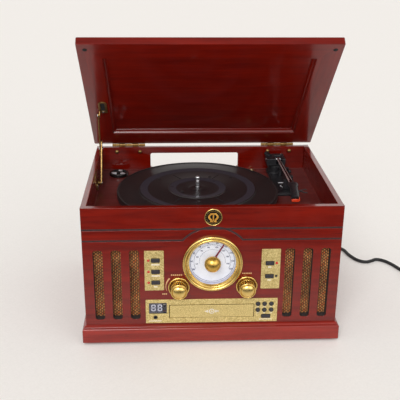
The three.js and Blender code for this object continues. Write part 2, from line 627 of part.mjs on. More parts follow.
// ---------------------------------------------------------------- tonearm
const BASE = { x0: 134, x1: 177, y0: 3, y1: 156, z0: DECK_TOP, z1: DECK_TOP + 4.5 };
const BLOCK = { z0: 226, z1: 240, left: 19, right: 19, front: 16.5, back: 20 };
const REST_Y = 27;
const CUE = { y: 140, z: 211 };
add('tonearm_base', join(
  lying(roundedRect(new THREE.Shape(), BASE.x0, BASE.x1, BASE.y0, BASE.y1, 4), BASE.z0, BASE.z1 - BASE.z0, 3),
  rodZ(15, BASE.z1 - 1, BLOCK.z0 - GAP, ARM.x, ARM.y, 28),
  block(147, 166, REST_Y - 4, REST_Y + 4, BASE.z1 - 1, 228.2),
  block(161, 166, REST_Y - 4, REST_Y + 4, 228, 236),
  block(166, 172, CUE.y - 8, CUE.y + 8, BASE.z1 - 1, 214),
), BLACK);

function tonearmGimbal() {
  const [x0, x1] = [ARM.x - BLOCK.left, ARM.x + BLOCK.right];
  const [y0, y1] = [ARM.y - BLOCK.front, ARM.y + BLOCK.back];
  const head = lying(roundedRect(new THREE.Shape(), x0, x1, y0, y1, 4), BLOCK.z0, BLOCK.z1 - BLOCK.z0, 3);
  const notch = block(ARM.axisX - 6, ARM.axisX + 6, y0 - 1, ARM.y + 8, 228, BLOCK.z1 + 1);
  return cut(head, notch);
}
add('tonearm_gimbal', tonearmGimbal(), BLACK);

// The arm widens from its trunnion to a long headshell that is turned in towards the record.
const HEAD = { x: ARM.axisX + 7, y: -14, width: 15, length: 66, turn: 8 };
function tonearmBody() {
  const [wide, narrow] = [5, 3.4];
  const bar = new THREE.Shape();
  bar.moveTo(ARM.axisX - narrow, ARM.y);
  bar.lineTo(ARM.axisX + narrow, ARM.y);
  bar.lineTo(ARM.axisX + wide + 5, HEAD.y - 4);
  bar.lineTo(ARM.axisX - wide + 5, HEAD.y - 4);
  bar.closePath();
  const shell = new THREE.Shape();
  shell.moveTo(-HEAD.width / 2 + 3, 4);
  shell.lineTo(HEAD.width / 2 - 2, 4);
  shell.lineTo(HEAD.width / 2, -8);
  shell.lineTo(HEAD.width / 2, -HEAD.length + 6);
  shell.lineTo(HEAD.width / 2 - 3, -HEAD.length);
  shell.lineTo(-HEAD.width / 2 + 3, -HEAD.length);
  shell.lineTo(-HEAD.width / 2, -HEAD.length + 6);
  shell.lineTo(-HEAD.width / 2, -8);
  shell.closePath();
  const fingerLift = block(HEAD.width / 2 - 1, HEAD.width / 2 + 16.5, -38, -26, 232, 233.5);
  const head = join(lying(shell, 231.5, 6), fingerLift)
    .rotateZ(-rad(HEAD.turn))
    .translate(HEAD.x, HEAD.y, 0);
  return join(
    lying(bar, 231, 6),
    rodX(4.2, ARM.axisX - 5.2, ARM.axisX + 5.2, ARM.y, ARM.z, 20),
    head,
  );
}
add('tonearm', tonearmBody(), BLACK);

add('cartridge', join(
  block(-6.5, 6.5, -HEAD.length + 4, -HEAD.length + 30, 226.2, 231.2),
  block(-5, 5, -HEAD.length - 1, -HEAD.length + 10, 224.6, 228),
).rotateZ(-rad(HEAD.turn)).translate(HEAD.x, HEAD.y, 0), BLACK);

add('cue_lever', join(
  rodX(2.4, 172 + GAP, 176.5, CUE.y, CUE.z, 14),
  block(173, 176, CUE.y - 20, CUE.y, 209.5, 212.5),
  block(172 + GAP, 178, CUE.y - 27, CUE.y - 19, 209.5, 215),
), BLACK);

add('speed_selector', turned([
  [0, BASE.z1 + GAP], [4.8, BASE.z1 + GAP], [4.3, BASE.z1 + 4.5], [0, BASE.z1 + 5],
], 152, 43, 20), BLACK);

add('adapter_45', turned([
  [3.7, DECK_TOP + GAP], [ADAPTER.r - 1, DECK_TOP + GAP], [ADAPTER.r, DECK_TOP + 1.5],
  [ADAPTER.r, DECK_TOP + ADAPTER.height - 1], [ADAPTER.r - 1, DECK_TOP + ADAPTER.height],
  [3.7, DECK_TOP + ADAPTER.height], [3.7, DECK_TOP + GAP],
], ADAPTER.x, ADAPTER.y, 32), BLACK);

export default musicCentre;
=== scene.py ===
"""The looks of a tabletop music centre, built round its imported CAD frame.

Lengths are millimetres, +Z is up and the front faces -Y; meshes become metres where they are made.
"""
import json
from math import acos, asin, atan2, copysign, cos, degrees, hypot, pi, radians, sin
import random

import bmesh
import bpy
from mathutils import Matrix, Vector
from mathutils.geometry import tessellate_polygon


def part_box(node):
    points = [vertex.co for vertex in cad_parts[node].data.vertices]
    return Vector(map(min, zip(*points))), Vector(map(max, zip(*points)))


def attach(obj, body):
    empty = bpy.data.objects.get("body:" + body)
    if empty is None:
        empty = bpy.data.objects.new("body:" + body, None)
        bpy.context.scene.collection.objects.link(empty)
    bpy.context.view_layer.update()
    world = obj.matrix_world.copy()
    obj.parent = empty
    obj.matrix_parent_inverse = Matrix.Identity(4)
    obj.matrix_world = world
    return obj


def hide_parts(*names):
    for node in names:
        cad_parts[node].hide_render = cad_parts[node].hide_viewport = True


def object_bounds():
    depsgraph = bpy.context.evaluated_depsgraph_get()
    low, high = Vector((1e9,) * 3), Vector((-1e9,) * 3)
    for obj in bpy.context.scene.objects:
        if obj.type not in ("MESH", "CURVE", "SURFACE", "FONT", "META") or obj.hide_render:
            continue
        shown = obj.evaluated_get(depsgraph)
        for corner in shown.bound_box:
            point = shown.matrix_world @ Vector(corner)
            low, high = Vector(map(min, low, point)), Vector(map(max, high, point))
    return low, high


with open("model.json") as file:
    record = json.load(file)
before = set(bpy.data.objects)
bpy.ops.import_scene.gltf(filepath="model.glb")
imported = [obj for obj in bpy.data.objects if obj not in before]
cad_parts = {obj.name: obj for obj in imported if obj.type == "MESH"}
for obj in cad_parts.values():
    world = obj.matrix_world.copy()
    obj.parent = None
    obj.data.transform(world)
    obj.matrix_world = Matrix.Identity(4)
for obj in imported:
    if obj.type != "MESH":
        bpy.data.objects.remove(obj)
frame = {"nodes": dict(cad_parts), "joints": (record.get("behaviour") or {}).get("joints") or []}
cad_low, cad_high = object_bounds()
MM = 0.001


# ------------------------------------------------------------------ places read from the frame
def box(node):
    """A CAD node's low and high corner, in millimetres."""
    low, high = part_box(node)
    return low / MM, high / MM


def middle(node):
    """A CAD node's centre."""
    low, high = box(node)
    return (low + high) / 2


def upright_axis(node):
    """The point under a node's centre at height zero."""
    return Vector((*middle(node)[:2], 0))


def pivot(name):
    """A point on a joint's axis, in millimetres."""
    joint = next(j for j in frame["joints"] if j["name"] == name)
    return Vector(joint["pos_m"]) / MM


FRONT = box("front_panel")[0].y
BACK = box("back_panel")[1].y
HALF = box("front_panel")[1].x
RIM = box("front_panel")[1].z
INNER_FRONT = box("front_panel")[1].y
INNER_BACK = box("back_panel")[0].y
INNER_X = box("back_panel")[1].x
DECK = box("deck_board")[1].z
FLOOR = cad_low.z / MM
OUT = Vector((0, -1, 0))
UP = Vector((0, 0, 1))
SIDE = Vector((1, 0, 0))
WHITE = (1, 1, 1, 1)
PRINT = 0.06  # how far printed marks stand off their surface


# ------------------------------------------------------------------ material helpers
def screen(r, g, b):
    """The linear colour of an 8-bit screen colour."""
    return tuple(((c / 255 + 0.055) / 1.055) ** 2.4 if c > 10 else c / 3295 for c in (r, g, b)) + (1,)


def new_material(name):
    """A material with one principled shader wired to its output."""
    material = bpy.data.materials.new(name)
    material.use_nodes = True
    tree = material.node_tree
    tree.nodes.clear()
    output = tree.nodes.new("ShaderNodeOutputMaterial")
    shader = tree.nodes.new("ShaderNodeBsdfPrincipled")
    tree.links.new(shader.outputs["BSDF"], output.inputs["Surface"])
    return material, tree, shader


def plug(tree, socket, value):
    """Links a socket to another one, or gives it a plain value."""
    if isinstance(value, bpy.types.NodeSocket):
        tree.links.new(value, socket)
    else:
        socket.default_value = value


def fill(tree, node, sockets):
    """Plugs several sockets of one node."""
    for key, value in sockets.items():
        plug(tree, node.inputs[key], value)


def add_node(tree, kind, sockets=None, **settings):
    """A shader node with its settings made and its sockets filled."""
    made = tree.nodes.new("ShaderNode" + kind)
    for key, value in settings.items():
        setattr(made, key, value)
    fill(tree, made, sockets or {})
    return made


def noise(tree, scale, stretch=(1, 1, 1), detail=4.0, distortion=0.0):
    """Noise fixed to the rest frame; scale is features per metre."""
    where = add_node(tree, "TexCoord").outputs["Object"]
    where = add_node(tree, "Mapping", {"Vector": where, "Scale": stretch}).outputs["Vector"]
    sockets = {"Vector": where, "Scale": scale, "Detail": detail, "Distortion": distortion}
    return add_node(tree, "TexNoise", sockets).outputs["Fac"]


def spread(tree, value, low, high, to_low, to_high):
    """A value carried from one range to another."""
    sockets = {"Value": value, "From Min": low, "From Max": high, "To Min": to_low, "To Max": to_high}
    return add_node(tree, "MapRange", sockets).outputs["Result"]


def ramp(tree, value, low, dark, high, light):
    """A colour between two tones, chosen by a value."""
    made = add_node(tree, "ValToRGB", {"Fac": value})
    first, last = made.color_ramp.elements
    first.position, first.color = low, dark
    last.position, last.color = high, light
    return made.outputs["Color"]


def mix(tree, mode, factor, a, b):
    """Two colours blended."""
    made = add_node(tree, "Mix", {0: factor}, data_type="RGBA", blend_type=mode)
    fill(tree, made, {6: a, 7: b})
    return made.outputs[2]


def bump(tree, height, strength, distance):
    """A normal from a height; the distance is in metres."""
    sockets = {"Height": height, "Strength": strength, "Distance": distance}
    return add_node(tree, "Bump", sockets).outputs["Normal"]


def finish(name, dark, light, rough, metal=0.0, scale=90.0, relief=0.1, coat=0.0, uneven=0.08,
           glow=0.0):
    """A moulded or metal finish: two tones in soft patches, uneven roughness and a fine relief."""
    material, tree, shader = new_material(name)
    tone = ramp(tree, noise(tree, scale), 0.35, screen(*dark), 0.65, screen(*light))
    if glow:
        fill(tree, shader, {"Emission Color": tone, "Emission Strength": glow})
    smears = noise(tree, scale * 2.3, detail=6.0)
    fine = noise(tree, 1500.0, detail=3.0)
    fill(tree, shader, {
        "Base Color": tone,
        "Roughness": spread(tree, smears, 0.3, 0.7, rough - uneven, rough + uneven),
        "Metallic": metal,
        "Coat Weight": coat,
        "Coat Roughness": 0.08,
        "Normal": bump(tree, fine, relief, 0.00008),
    })
    return material


def mahogany(name, along, dark=(98, 8, 0), light=(124, 17, 1), coat=1.0):
    """Clear red lacquer over a dark, fine grain that runs along axis 0, 1 or 2."""
    material, tree, shader = new_material(name)
    stretch = [14.0, 14.0, 14.0]
    stretch[along] = 1.0
    grain = noise(tree, 9.0, stretch, detail=7.0, distortion=0.5)
    wood = ramp(tree, grain, 0.3, screen(*dark), 0.7, screen(*light))
    clouds = ramp(tree, noise(tree, 9.0, detail=3.0), 0.3, (0.62, 0.55, 0.6, 1), 0.7, WHITE)
    wood = mix(tree, "MULTIPLY", 0.25, wood, clouds)
    stretch = [1300.0, 1300.0, 1300.0]
    stretch[along] = 45.0
    pores = noise(tree, 1.0, stretch, detail=2.0)
    flecks = ramp(tree, pores, 0.27, (0.35, 0.25, 0.25, 1), 0.4, WHITE)
    smears = noise(tree, 30.0, detail=5.0)
    peel = noise(tree, 260.0, detail=2.0)
    fill(tree, shader, {
        "Base Color": mix(tree, "MULTIPLY", 0.6, wood, flecks),
        "Specular IOR Level": 0.1,
        "Roughness": spread(tree, smears, 0.3, 0.7, 0.3, 0.42),
        "Coat Weight": coat,
        "Coat Roughness": spread(tree, smears, 0.3, 0.7, 0.1, 0.18),
        "Normal": bump(tree, mix(tree, "ADD", 0.25, peel, pores), 0.12, 0.0001),
    })
    return material


def speckled_plate(name, dark, light):
    """Satin champagne metal with a fine sandblasted speckle."""
    material, tree, shader = new_material(name)
    specks = noise(tree, 600.0, detail=3.0)
    clouds = ramp(tree, noise(tree, 120.0, detail=3.0), 0.3, (0.7, 0.7, 0.66, 1), 0.7, WHITE)
    colour = ramp(tree, specks, 0.33, screen(*dark), 0.66, screen(*light))
    fill(tree, shader, {
        "Base Color": mix(tree, "MULTIPLY", 0.35, colour, clouds),
        "Roughness": spread(tree, specks, 0.3, 0.7, 0.38, 0.58),
        "Metallic": 0.55,
        "Normal": bump(tree, specks, 0.35, 0.0002),
    })
    return material


def woven(name):
    """Grille cloth: the mesh carries each thread's colour with its painted shade, and the fibres vary
    it.
    """
    material, tree, shader = new_material(name)
    thread = add_node(tree, "Attribute", attribute_name="thread").outputs["Color"]
    fibres = noise(tree, 2600.0, detail=2.0)
    shade = ramp(tree, fibres, 0.3, (0.55, 0.55, 0.55, 1), 0.7, WHITE)
    fill(tree, shader, {
        "Base Color": mix(tree, "MULTIPLY", 0.5, thread, shade),
        "Roughness": 0.85,
        "Sheen Weight": 0.05,
        "Normal": bump(tree, fibres, 0.5, 0.0002),
    })
    return material


def clear(name, tint, shine=0.35):
    """A thin clear moulding: see-through face on, and mirroring up to its shine where it turns away."""
    material, tree, shader = new_material(name)
    see_through = add_node(tree, "BsdfTransparent", {"Color": tint})
    streaks = noise(tree, 60.0)
    gloss = add_node(tree, "BsdfGlossy", {"Roughness": spread(tree, streaks, 0.3, 0.7, 0.02, 0.06)})
    facing_away = add_node(tree, "LayerWeight").outputs["Facing"]
    edge = spread(tree, facing_away, 0.3, 1.0, 0.03, shine)
    both = add_node(tree, "MixShader", {"Fac": edge})
    fill(tree, both, {1: see_through.outputs["BSDF"], 2: gloss.outputs["BSDF"]})
    output = shader.outputs["BSDF"].links[0].to_socket
    tree.nodes.remove(shader)
    plug(tree, output, both.outputs["Shader"])
    return material


WOOD_X = mahogany("mahogany_across", 0)
WOOD_Y = mahogany("mahogany_deep", 1)
# painted sheen: a paler lacquer for the plinth, standing in for the floor's reflection on it
WOOD_PLINTH_PAINTED_SHEEN = mahogany("mahogany_plinth_painted_sheen", 0, (124, 26, 16), (152, 38, 26))
# painted sheen: a paler, pinker lacquer for the deck, standing in for its reflections
WOOD_DECK_PAINTED_SHEEN = mahogany("mahogany_deck_painted_sheen", 0, (92, 37, 35), (116, 52, 48), 0.6)
GROOVE_PAINT = finish("groove_paint", (44, 28, 30), (60, 38, 40), 0.6, scale=200, relief=0.4)
SATIN_BLACK = finish("satin_black", (20, 20, 23), (33, 32, 36), 0.42, relief=0.35, uneven=0.06)
GLOSS_BLACK = finish("gloss_black", (14, 13, 14), (24, 22, 22), 0.2, coat=0.4, relief=0.06)
PLATTER_BLACK = finish("platter_black", (28, 24, 25), (34, 29, 30), 0.4, relief=0.0,
                       scale=300, uneven=0.0)
# painted sheen: a lighter bluish grey on the platter's two rings stands in for their highlights
RING_PAINTED_SHEEN = finish("ring_painted_sheen", (46, 47, 55), (54, 55, 64), 0.28, scale=600, relief=0.0,
                      uneven=0.0)
RUBBER = finish("rubber", (18, 18, 20), (30, 30, 32), 0.7, relief=0.5)
GOLD_LEAF = finish("gold_leaf", (196, 136, 48), (222, 168, 76), 0.35, metal=0.3, scale=300)
DARK_KEY = finish("charcoal_key", (34, 33, 38), (52, 50, 56), 0.45, scale=300, relief=0.3)
BAFFLE = finish("baffle_board", (38, 34, 34), (62, 54, 52), 0.8, scale=400, relief=0.6)
GILT = finish("gilt", (224, 190, 108), (236, 206, 130), 0.25, metal=1.0, scale=120, relief=0.0,
              uneven=0.02)
# painted shade: a darker copy of the gilt for the pointer's boss, holding down its highlight
GILT_DOME_PAINTED_SHADE = finish("gilt_dome_painted_shade", (200, 160, 76), (212, 174, 92), 0.3, metal=1.0, scale=120, relief=0.0)
# painted shade: a dark brown gilt for the hollows of the knobs
GILT_PAINTED_SHADE = finish("gilt_painted_shade", (88, 52, 12), (112, 72, 22), 0.4, metal=0.5, scale=120)
BRASS = finish("brass", (168, 142, 102), (204, 182, 144), 0.38, metal=1.0, scale=260)
# painted shade: a darker copy of the brass for the hinges, the stay and the dome nuts
BRASS_PAINTED_SHADE = finish("brass_painted_shade", (126, 98, 56), (160, 130, 84), 0.42, metal=1.0, scale=260)
STEEL = finish("steel", (170, 170, 175), (205, 205, 208), 0.22, metal=1.0, scale=200, relief=0.05)
ALLOY = finish("alloy", (196, 196, 202), (222, 222, 226), 0.35, metal=0.4, scale=300, relief=0.05)
CHAMPAGNE = speckled_plate("champagne", (182, 158, 92), (240, 220, 156))
CLOTH = woven("grille_cloth")
# painted light: the dial card glows faintly to brighten its sunk, shaded face
DIAL_WHITE_GLOWING = finish("dial_white", (226, 227, 234), (236, 237, 243), 0.5, scale=60, relief=0.05,
                    glow=0.12)
SEAT_GREY = finish("seat_grey", (176, 176, 196), (200, 200, 216), 0.5, scale=80, relief=0.05)
DIAL_INK = finish("dial_ink", (52, 58, 92), (74, 80, 112), 0.6, scale=900)
CRIMSON = finish("crimson", (120, 14, 44), (150, 24, 58), 0.35, scale=300, coat=0.4)
PALE_PRINT = finish("pale_print", (232, 224, 200), (246, 240, 224), 0.6, scale=900)
TAN_PRINT = finish("tan_print", (196, 150, 100), (222, 178, 128), 0.55, scale=900)
WHITE_PRINT = finish("white_print", (214, 216, 222), (238, 238, 242), 0.5, scale=900)
RED_LAMP = finish("red_lamp", (170, 20, 12), (214, 44, 26), 0.2, scale=600, coat=0.6)
# painted highlight: a pale pinkish grey for the tonearm's upper edges
ARM_PAINTED_HIGHLIGHT = finish("arm_painted_highlight", (136, 112, 112), (160, 138, 136), 0.3, scale=300, coat=0.3)
STYLUS_ORANGE = finish("stylus_orange", (205, 50, 22), (232, 76, 34), 0.35, scale=400, coat=0.3)
# painted light: the grey bed behind the figures glows faintly, though it is no lamp
DISPLAY_GREY = finish("display_grey", (80, 80, 92), (94, 94, 106), 0.3, scale=200, glow=0.1)
FIGURES = finish("display_figures", (226, 228, 236), (240, 240, 246), 0.5, scale=900, glow=0.25)
DISPLAY_DARK = finish("display_dark", (34, 36, 48), (46, 48, 60), 0.25, scale=200)
ENAMEL = finish("black_enamel", (14, 12, 12), (24, 20, 18), 0.2, scale=200, coat=0.5)
BOARD_GREEN = finish("circuit_board", (20, 74, 44), (34, 98, 58), 0.45, scale=500, relief=0.5)
SOCKET_RED = finish("socket_red", (160, 20, 20), (190, 34, 30), 0.4, scale=300)
LENS = clear("clear_lens", (0.98, 0.985, 0.99, 1))
WINDOW = clear("smoked_window", (0.86, 0.86, 0.88, 1))


# ------------------------------------------------------------------ shape helpers
def show(name, data):
    """A new object in the scene."""
    made = bpy.data.objects.new(name, data)
    bpy.context.scene.collection.objects.link(made)
    return made


def as_mesh(made):
    """The mesh of a curve or text object, which is taken away."""
    graph = bpy.context.evaluated_depsgraph_get()
    mesh = bpy.data.meshes.new_from_object(made.evaluated_get(graph))
    bpy.data.objects.remove(made)
    return mesh


def mesh_object(name, points, faces, material, sharp=35.0):
    """A closed mesh from points in millimetres, its faces turned outward and its sharp edges kept."""
    mesh = bpy.data.meshes.new(name)
    mesh.from_pydata([Vector(p) * MM for p in points], [], faces)
    shape = bmesh.new()
    shape.from_mesh(mesh)
    bmesh.ops.remove_doubles(shape, verts=shape.verts, dist=1e-7)
    bmesh.ops.recalc_face_normals(shape, faces=shape.faces)
    shape.to_mesh(mesh)
    shape.free()
    mesh.polygons.foreach_set("use_smooth", [True] * len(mesh.polygons))
    mesh.set_sharp_from_angle(angle=radians(sharp))
    mesh.materials.append(material)
    return show(name, mesh)


def even_shading(made):
    """Weights the shading by face area, so that wide flats look flat."""
    weighted = made.modifiers.new("even_shading", "WEIGHTED_NORMAL")
    weighted.keep_sharp = True
    return made


def merged(name, objects):
    """One object from several."""
    with bpy.context.temp_override(active_object=objects[0], selected_editable_objects=objects,
                                   selected_objects=objects):
        bpy.ops.object.join()
    objects[0].name = name
    return objects[0]


def moved(x, y, z):
    """A shift given in millimetres."""
    return Matrix.Translation(Vector((x, y, z)) * MM)


def place(made, body, slot, *nodes):
    """Hands a piece to its body and hides the CAD nodes it stands for; the slot argument is not used.
    """
    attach(made, body)
    if nodes:
        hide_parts(*nodes)
    return made


def arc(a, b, radius, start, stop, steps=6):
    """Points on an arc round (a, b), angles in degrees."""
    angles = [radians(start + (stop - start) * k / steps) for k in range(steps + 1)]
    return [(a + radius * cos(t), b + radius * sin(t)) for t in angles]


def circle(a, b, radius, steps=64):
    """Points round a full circle."""
    return arc(a, b, radius, 0, 360, steps)[:-1]


def rounded(a0, a1, b0, b1, radius, steps=5):
    """A rectangle with round corners, from its lower right corner and anticlockwise."""
    left, right, low, high = a0 + radius, a1 - radius, b0 + radius, b1 - radius
    ring = []
    for quarter, (a, b) in enumerate(((right, low), (right, high), (left, high), (left, low))):
        ring += arc(a, b, radius, 90 * quarter - 90, 90 * quarter, steps)
    return ring


def rectangle(a0, a1, b0, b1):
    """Four corners, anticlockwise."""
    return [(a0, b0), (a1, b0), (a1, b1), (a0, b1)]


def radial(centre, angle, corners):
    """An outline from (distance out, offset across) corners, along one direction from a centre."""
    return [(centre[0] + r * cos(angle) - w * sin(angle), centre[1] + r * sin(angle) + w * cos(angle))
            for r, w in corners]


def turned_way(ring, wanted):
    """The ring in the wanted turning sense, +1 for anticlockwise."""
    area = sum(a[0] * b[1] - b[0] * a[1] for a, b in zip(ring, ring[1:] + ring[:1]))
    return ring if area * wanted > 0 else ring[::-1]


def inward(ring):
    """For each point, the step that moves both of its edges one unit to the left."""
    steps = []
    for before, here, after in zip(ring[-1:] + ring[:-1], ring, ring[1:] + ring[:1]):
        one = (Vector(here) - Vector(before)).normalized()
        two = (Vector(after) - Vector(here)).normalized()
        normal_one, normal_two = Vector((-one.y, one.x)), Vector((-two.y, two.x))
        steps.append((normal_one + normal_two) / max(0.3, 1 + normal_one.dot(normal_two)))
    return steps


def facing(y):
    """Outlines in X and Z on a plane at y, thick towards the front."""
    return lambda a, b, height: (a, y - height, b)


def lying(z):
    """Outlines in X and Y on a plane at z, thick upwards."""
    return lambda a, b, height: (a, b, z + height)


def rearward(y):
    """Outlines in -X and Z on a plane at y, thick towards the back."""
    return lambda a, b, height: (-a, y + height, b)


def sideways(x):
    """Outlines in Y and Z on a plane at x, thick towards +X."""
    return lambda a, b, height: (x + height, a, b)


def hanging(z):
    """Outlines in X and Y on a plane at z, thick downwards."""
    return lambda a, b, height: (a, b, z - height)


def plate(name, outer, holes, place_at, thick, bevel, material, back=0.0, cap=None, sharp=35.0):
    """A flat piece with rounded front edges and, where back is given, chamfered back edges.

    place_at turns an outline's point and a height into a place; cap is another material for the front.
    """
    rings = [turned_way(outer, 1)] + [turned_way(hole, -1) for hole in holes]
    levels = [(back, 0.0), (0.0, back)] if back else [(0.0, 0.0)]
    turns = [k * pi / 6 for k in range(4)] if bevel else [pi / 2]
    levels += [(bevel * (1 - cos(t)), thick - bevel * (1 - sin(t))) for t in turns]
    flat, points, faces, starts = [], [], [], []
    for ring in rings:
        shift = inward(ring)
        count = len(ring)
        starts.append((len(points), count))
        for inset, height in levels:
            for (a, b), step in zip(ring, shift):
                flat.append(Vector((a + inset * step.x, b + inset * step.y, 0)))
                points.append(place_at(flat[-1].x, flat[-1].y, height))
        for level in range(len(levels) - 1):
            low = starts[-1][0] + level * count
            faces += [(low + i, low + (i + 1) % count, low + count + (i + 1) % count, low + count + i)
                      for i in range(count)]
    for level in (0, len(levels) - 1):
        index = [start + level * count + i for start, count in starts for i in range(count)]
        loops = [[flat[start + level * count + i] for i in range(count)] for start, count in starts]
        front_caps = len(faces)
        faces += [tuple(index[k] for k in triangle) for triangle in tessellate_polygon(loops)]
    made = mesh_object(name, points, faces, material, sharp)
    if cap is not None:
        made.data.materials.append(cap)
        for polygon in list(made.data.polygons)[front_caps:]:
            polygon.material_index = 1
    return even_shading(made)


def loft(name, rings, material, closed=False, sharp=35.0):
    """Skins a run of rings with equal numbers of points; open runs get a flat cap at each end."""
    count = len(rings[0])
    points = [p for ring in rings for p in ring]
    pairs = len(rings) if closed else len(rings) - 1
    faces = []
    for level in range(pairs):
        low, high = level * count, (level + 1) % len(rings) * count
        faces += [(low + i, low + (i + 1) % count, high + (i + 1) % count, high + i)
                  for i in range(count)]
    if not closed:
        faces += [tuple(range(count))[::-1], tuple(range(len(points) - count, len(points)))]
    return mesh_object(name, points, faces, material, sharp)


def lathe(name, profile, origin, out, material, segments=72, closed=False, wave=None, sharp=35.0):
    """A turned piece from (radius, distance along out) points; a wave of the radius may flute it."""
    origin = Vector(origin)
    across = SIDE if abs(out.x) < 0.9 else Vector((0, 1, 0))
    other = out.cross(across)
    rings = []
    for radius, distance in profile:
        ring = []
        for k in range(segments):
            angle = 2 * pi * k / segments
            grown = max(radius, 1e-5) + (wave(angle, radius, distance) if wave else 0)
            ring.append(origin + out * distance + (across * cos(angle) + other * sin(angle)) * grown)
        rings.append(ring)
    return loft(name, rings, material, closed, sharp)


def tube(name, path, radius, material):
    """A round cord or wire along a smooth path."""
    data = bpy.data.curves.new(name, "CURVE")
    data.dimensions = "3D"
    data.resolution_u = 6
    data.bevel_depth = radius * MM
    data.bevel_resolution = 4
    data.use_fill_caps = True
    spline = data.splines.new("BEZIER")
    spline.bezier_points.add(len(path) - 1)
    for point, where in zip(spline.bezier_points, path):
        point.co = Vector(where) * MM
        point.handle_left_type = point.handle_right_type = "AUTO"
    mesh = as_mesh(show(name, data))
    mesh.materials.clear()
    mesh.materials.append(material)
    mesh.polygons.foreach_set("use_smooth", [True] * len(mesh.polygons))
    return show(name, mesh)


def block(name, low, high, bevel, material):
    """A box with its edges rounded."""
    outline = rounded(low[0], high[0], low[1], high[1], bevel, 3)
    return plate(name, outline, [], lying(low[2]), high[2] - low[2], bevel, material, back=bevel)


def bars(prefix, x, z, width, height, count, y, material):
    """A row of short printed dashes that stands for a legend."""
    pitch = width / count
    made = []
    for k in range(count):
        left = x - width / 2 + k * pitch
        outline = rectangle(left, left + pitch * 0.72, z - height / 2, z + height / 2)
        made.append(plate(f"{prefix}_{k}", outline, [], facing(y), PRINT, 0.02, material))
    return made


def paint(made, material, chosen):
    """Gives another material to the faces whose middle, in millimetres, and normal pass the test."""
    made.data.materials.append(material)
    index = len(made.data.materials) - 1
    for polygon in made.data.polygons:
        if chosen(polygon.center / MM, polygon.normal):
            polygon.material_index = index


# ------------------------------------------------------------------ cabinet
GROOVES = (192.5, 213.0)  # the heights of the two painted grooves
GROOVE_HALF = 1.5
GROOVE_DEPTH = 1.2
ARCH = 67.0  # the radius of the groove that bends round the dial
SLOT_X = (133.0, 164.0, 194.5)  # the grille slots, from the middle outwards
SLOT_HALF = 8.25
SLOT_Z = (41.5, 175.0)
DIAL = middle("dial_bezel")
SOURCE_KEYS = [f"source_button_{k}" for k in (1, 2, 3)]
BAND_KEYS = [f"band_button_{k}" for k in (1, 2)]
ROUND_KEYS = [f"cd_button_{k}" for k in range(1, 7)]


def slot_outlines(side, grow=0.0):
    """The three grille slots of one side, as seen from the front."""
    half, low, high = SLOT_HALF + grow, SLOT_Z[0] - grow, SLOT_Z[1] + grow
    return [rounded(side * x - half, side * x + half, low, high, 5.0, 8) for x in SLOT_X]


def around(node, gap=0.0, radius=0.0, steps=5):
    """The outline of a node seen from the front, with a gap round it and, if asked, round corners."""
    low, high = box(node)
    edges = (low.x - gap, high.x + gap, low.z - gap, high.z + gap)
    return rounded(*edges, radius, steps) if radius else rectangle(*edges)


def panel_holes():
    """Every opening of the front panel: slots, keys, dial, knob shafts and disc section."""
    holes = slot_outlines(-1) + slot_outlines(1)
    holes += [around(key, 1.0) for key in SOURCE_KEYS + BAND_KEYS]
    holes.append(circle(DIAL.x, DIAL.z, 43.4, 96))
    holes += [circle(middle(knob).x, middle(knob).z, 4.0, 24)
              for knob in ("volume_knob", "tuning_knob")]
    keys, window = box("cd_button_3")[1], box("display_window")[0]
    holes.append(rectangle(window.x - 0.6, keys.x + 3.1, 40.3, keys.z + 2.3))
    return holes


def front_panel():
    """A face layer in four parts with painted grooves between them, on a solid backing."""
    wide, narrow = ARCH + GROOVE_HALF, ARCH - GROOVE_HALF
    low_under, low_over = GROOVES[0] - GROOVE_HALF, GROOVES[0] + GROOVE_HALF
    up_under, up_over = GROOVES[1] - GROOVE_HALF, GROOVES[1] + GROOVE_HALF

    def bend(radius, z):
        """The angle where the arch reaches a height on its right side."""
        return degrees(asin((z - DIAL.z) / radius))

    def sweep(radius, start, stop):
        """A stretch of the arch."""
        return arc(DIAL.x, DIAL.z, radius, start, stop, 12)

    crown, first, last = bend(wide, up_over), bend(wide, low_over), bend(wide, up_under)
    low_bend, high_bend = bend(narrow, low_under), bend(narrow, up_under)
    top = [(-HALF, up_over)] + sweep(wide, 180 - crown, crown)
    top += [(HALF, up_over), (HALF, RIM), (-HALF, RIM)]
    left = [(-HALF, low_over)] + sweep(wide, 180 - first, 180 - last) + [(-HALF, up_under)]
    right = [(HALF, low_over)] + sweep(wide, first, last) + [(HALF, up_under)]
    lower = [(-HALF, 0), (HALF, 0), (HALF, low_under)] + sweep(narrow, low_bend, high_bend)
    lower += sweep(narrow, 180 - high_bend, 180 - low_bend) + [(-HALF, low_under)]
    holes = panel_holes()
    layer = facing(FRONT + GROOVE_DEPTH)
    parts = [plate("panel_backing", rectangle(-HALF, HALF, 0, RIM), holes, facing(INNER_FRONT),
                   INNER_FRONT - FRONT - GROOVE_DEPTH, 0.0, WOOD_X, cap=GROOVE_PAINT)]
    for outline, cuts in ((top, []), (left, []), (right, []), (lower, holes)):
        parts.append(plate("panel_face", outline, cuts, layer, GROOVE_DEPTH, 0.55, WOOD_X))
    made = merged("front_panel_wood", parts)

    def in_slot(where, normal):
        """Whether a face lies on the wall of a grille slot."""
        beside = min(abs(abs(where.x) - x) for x in SLOT_X) < SLOT_HALF + 0.2
        within = SLOT_Z[0] - 0.2 < where.z < SLOT_Z[1] + 0.2
        return beside and within and FRONT + 1.3 < where.y < INNER_FRONT - 0.1

    paint(made, BAFFLE, in_slot)
    place(made, "cabinet", "mahogany", "front_panel")


front_panel()


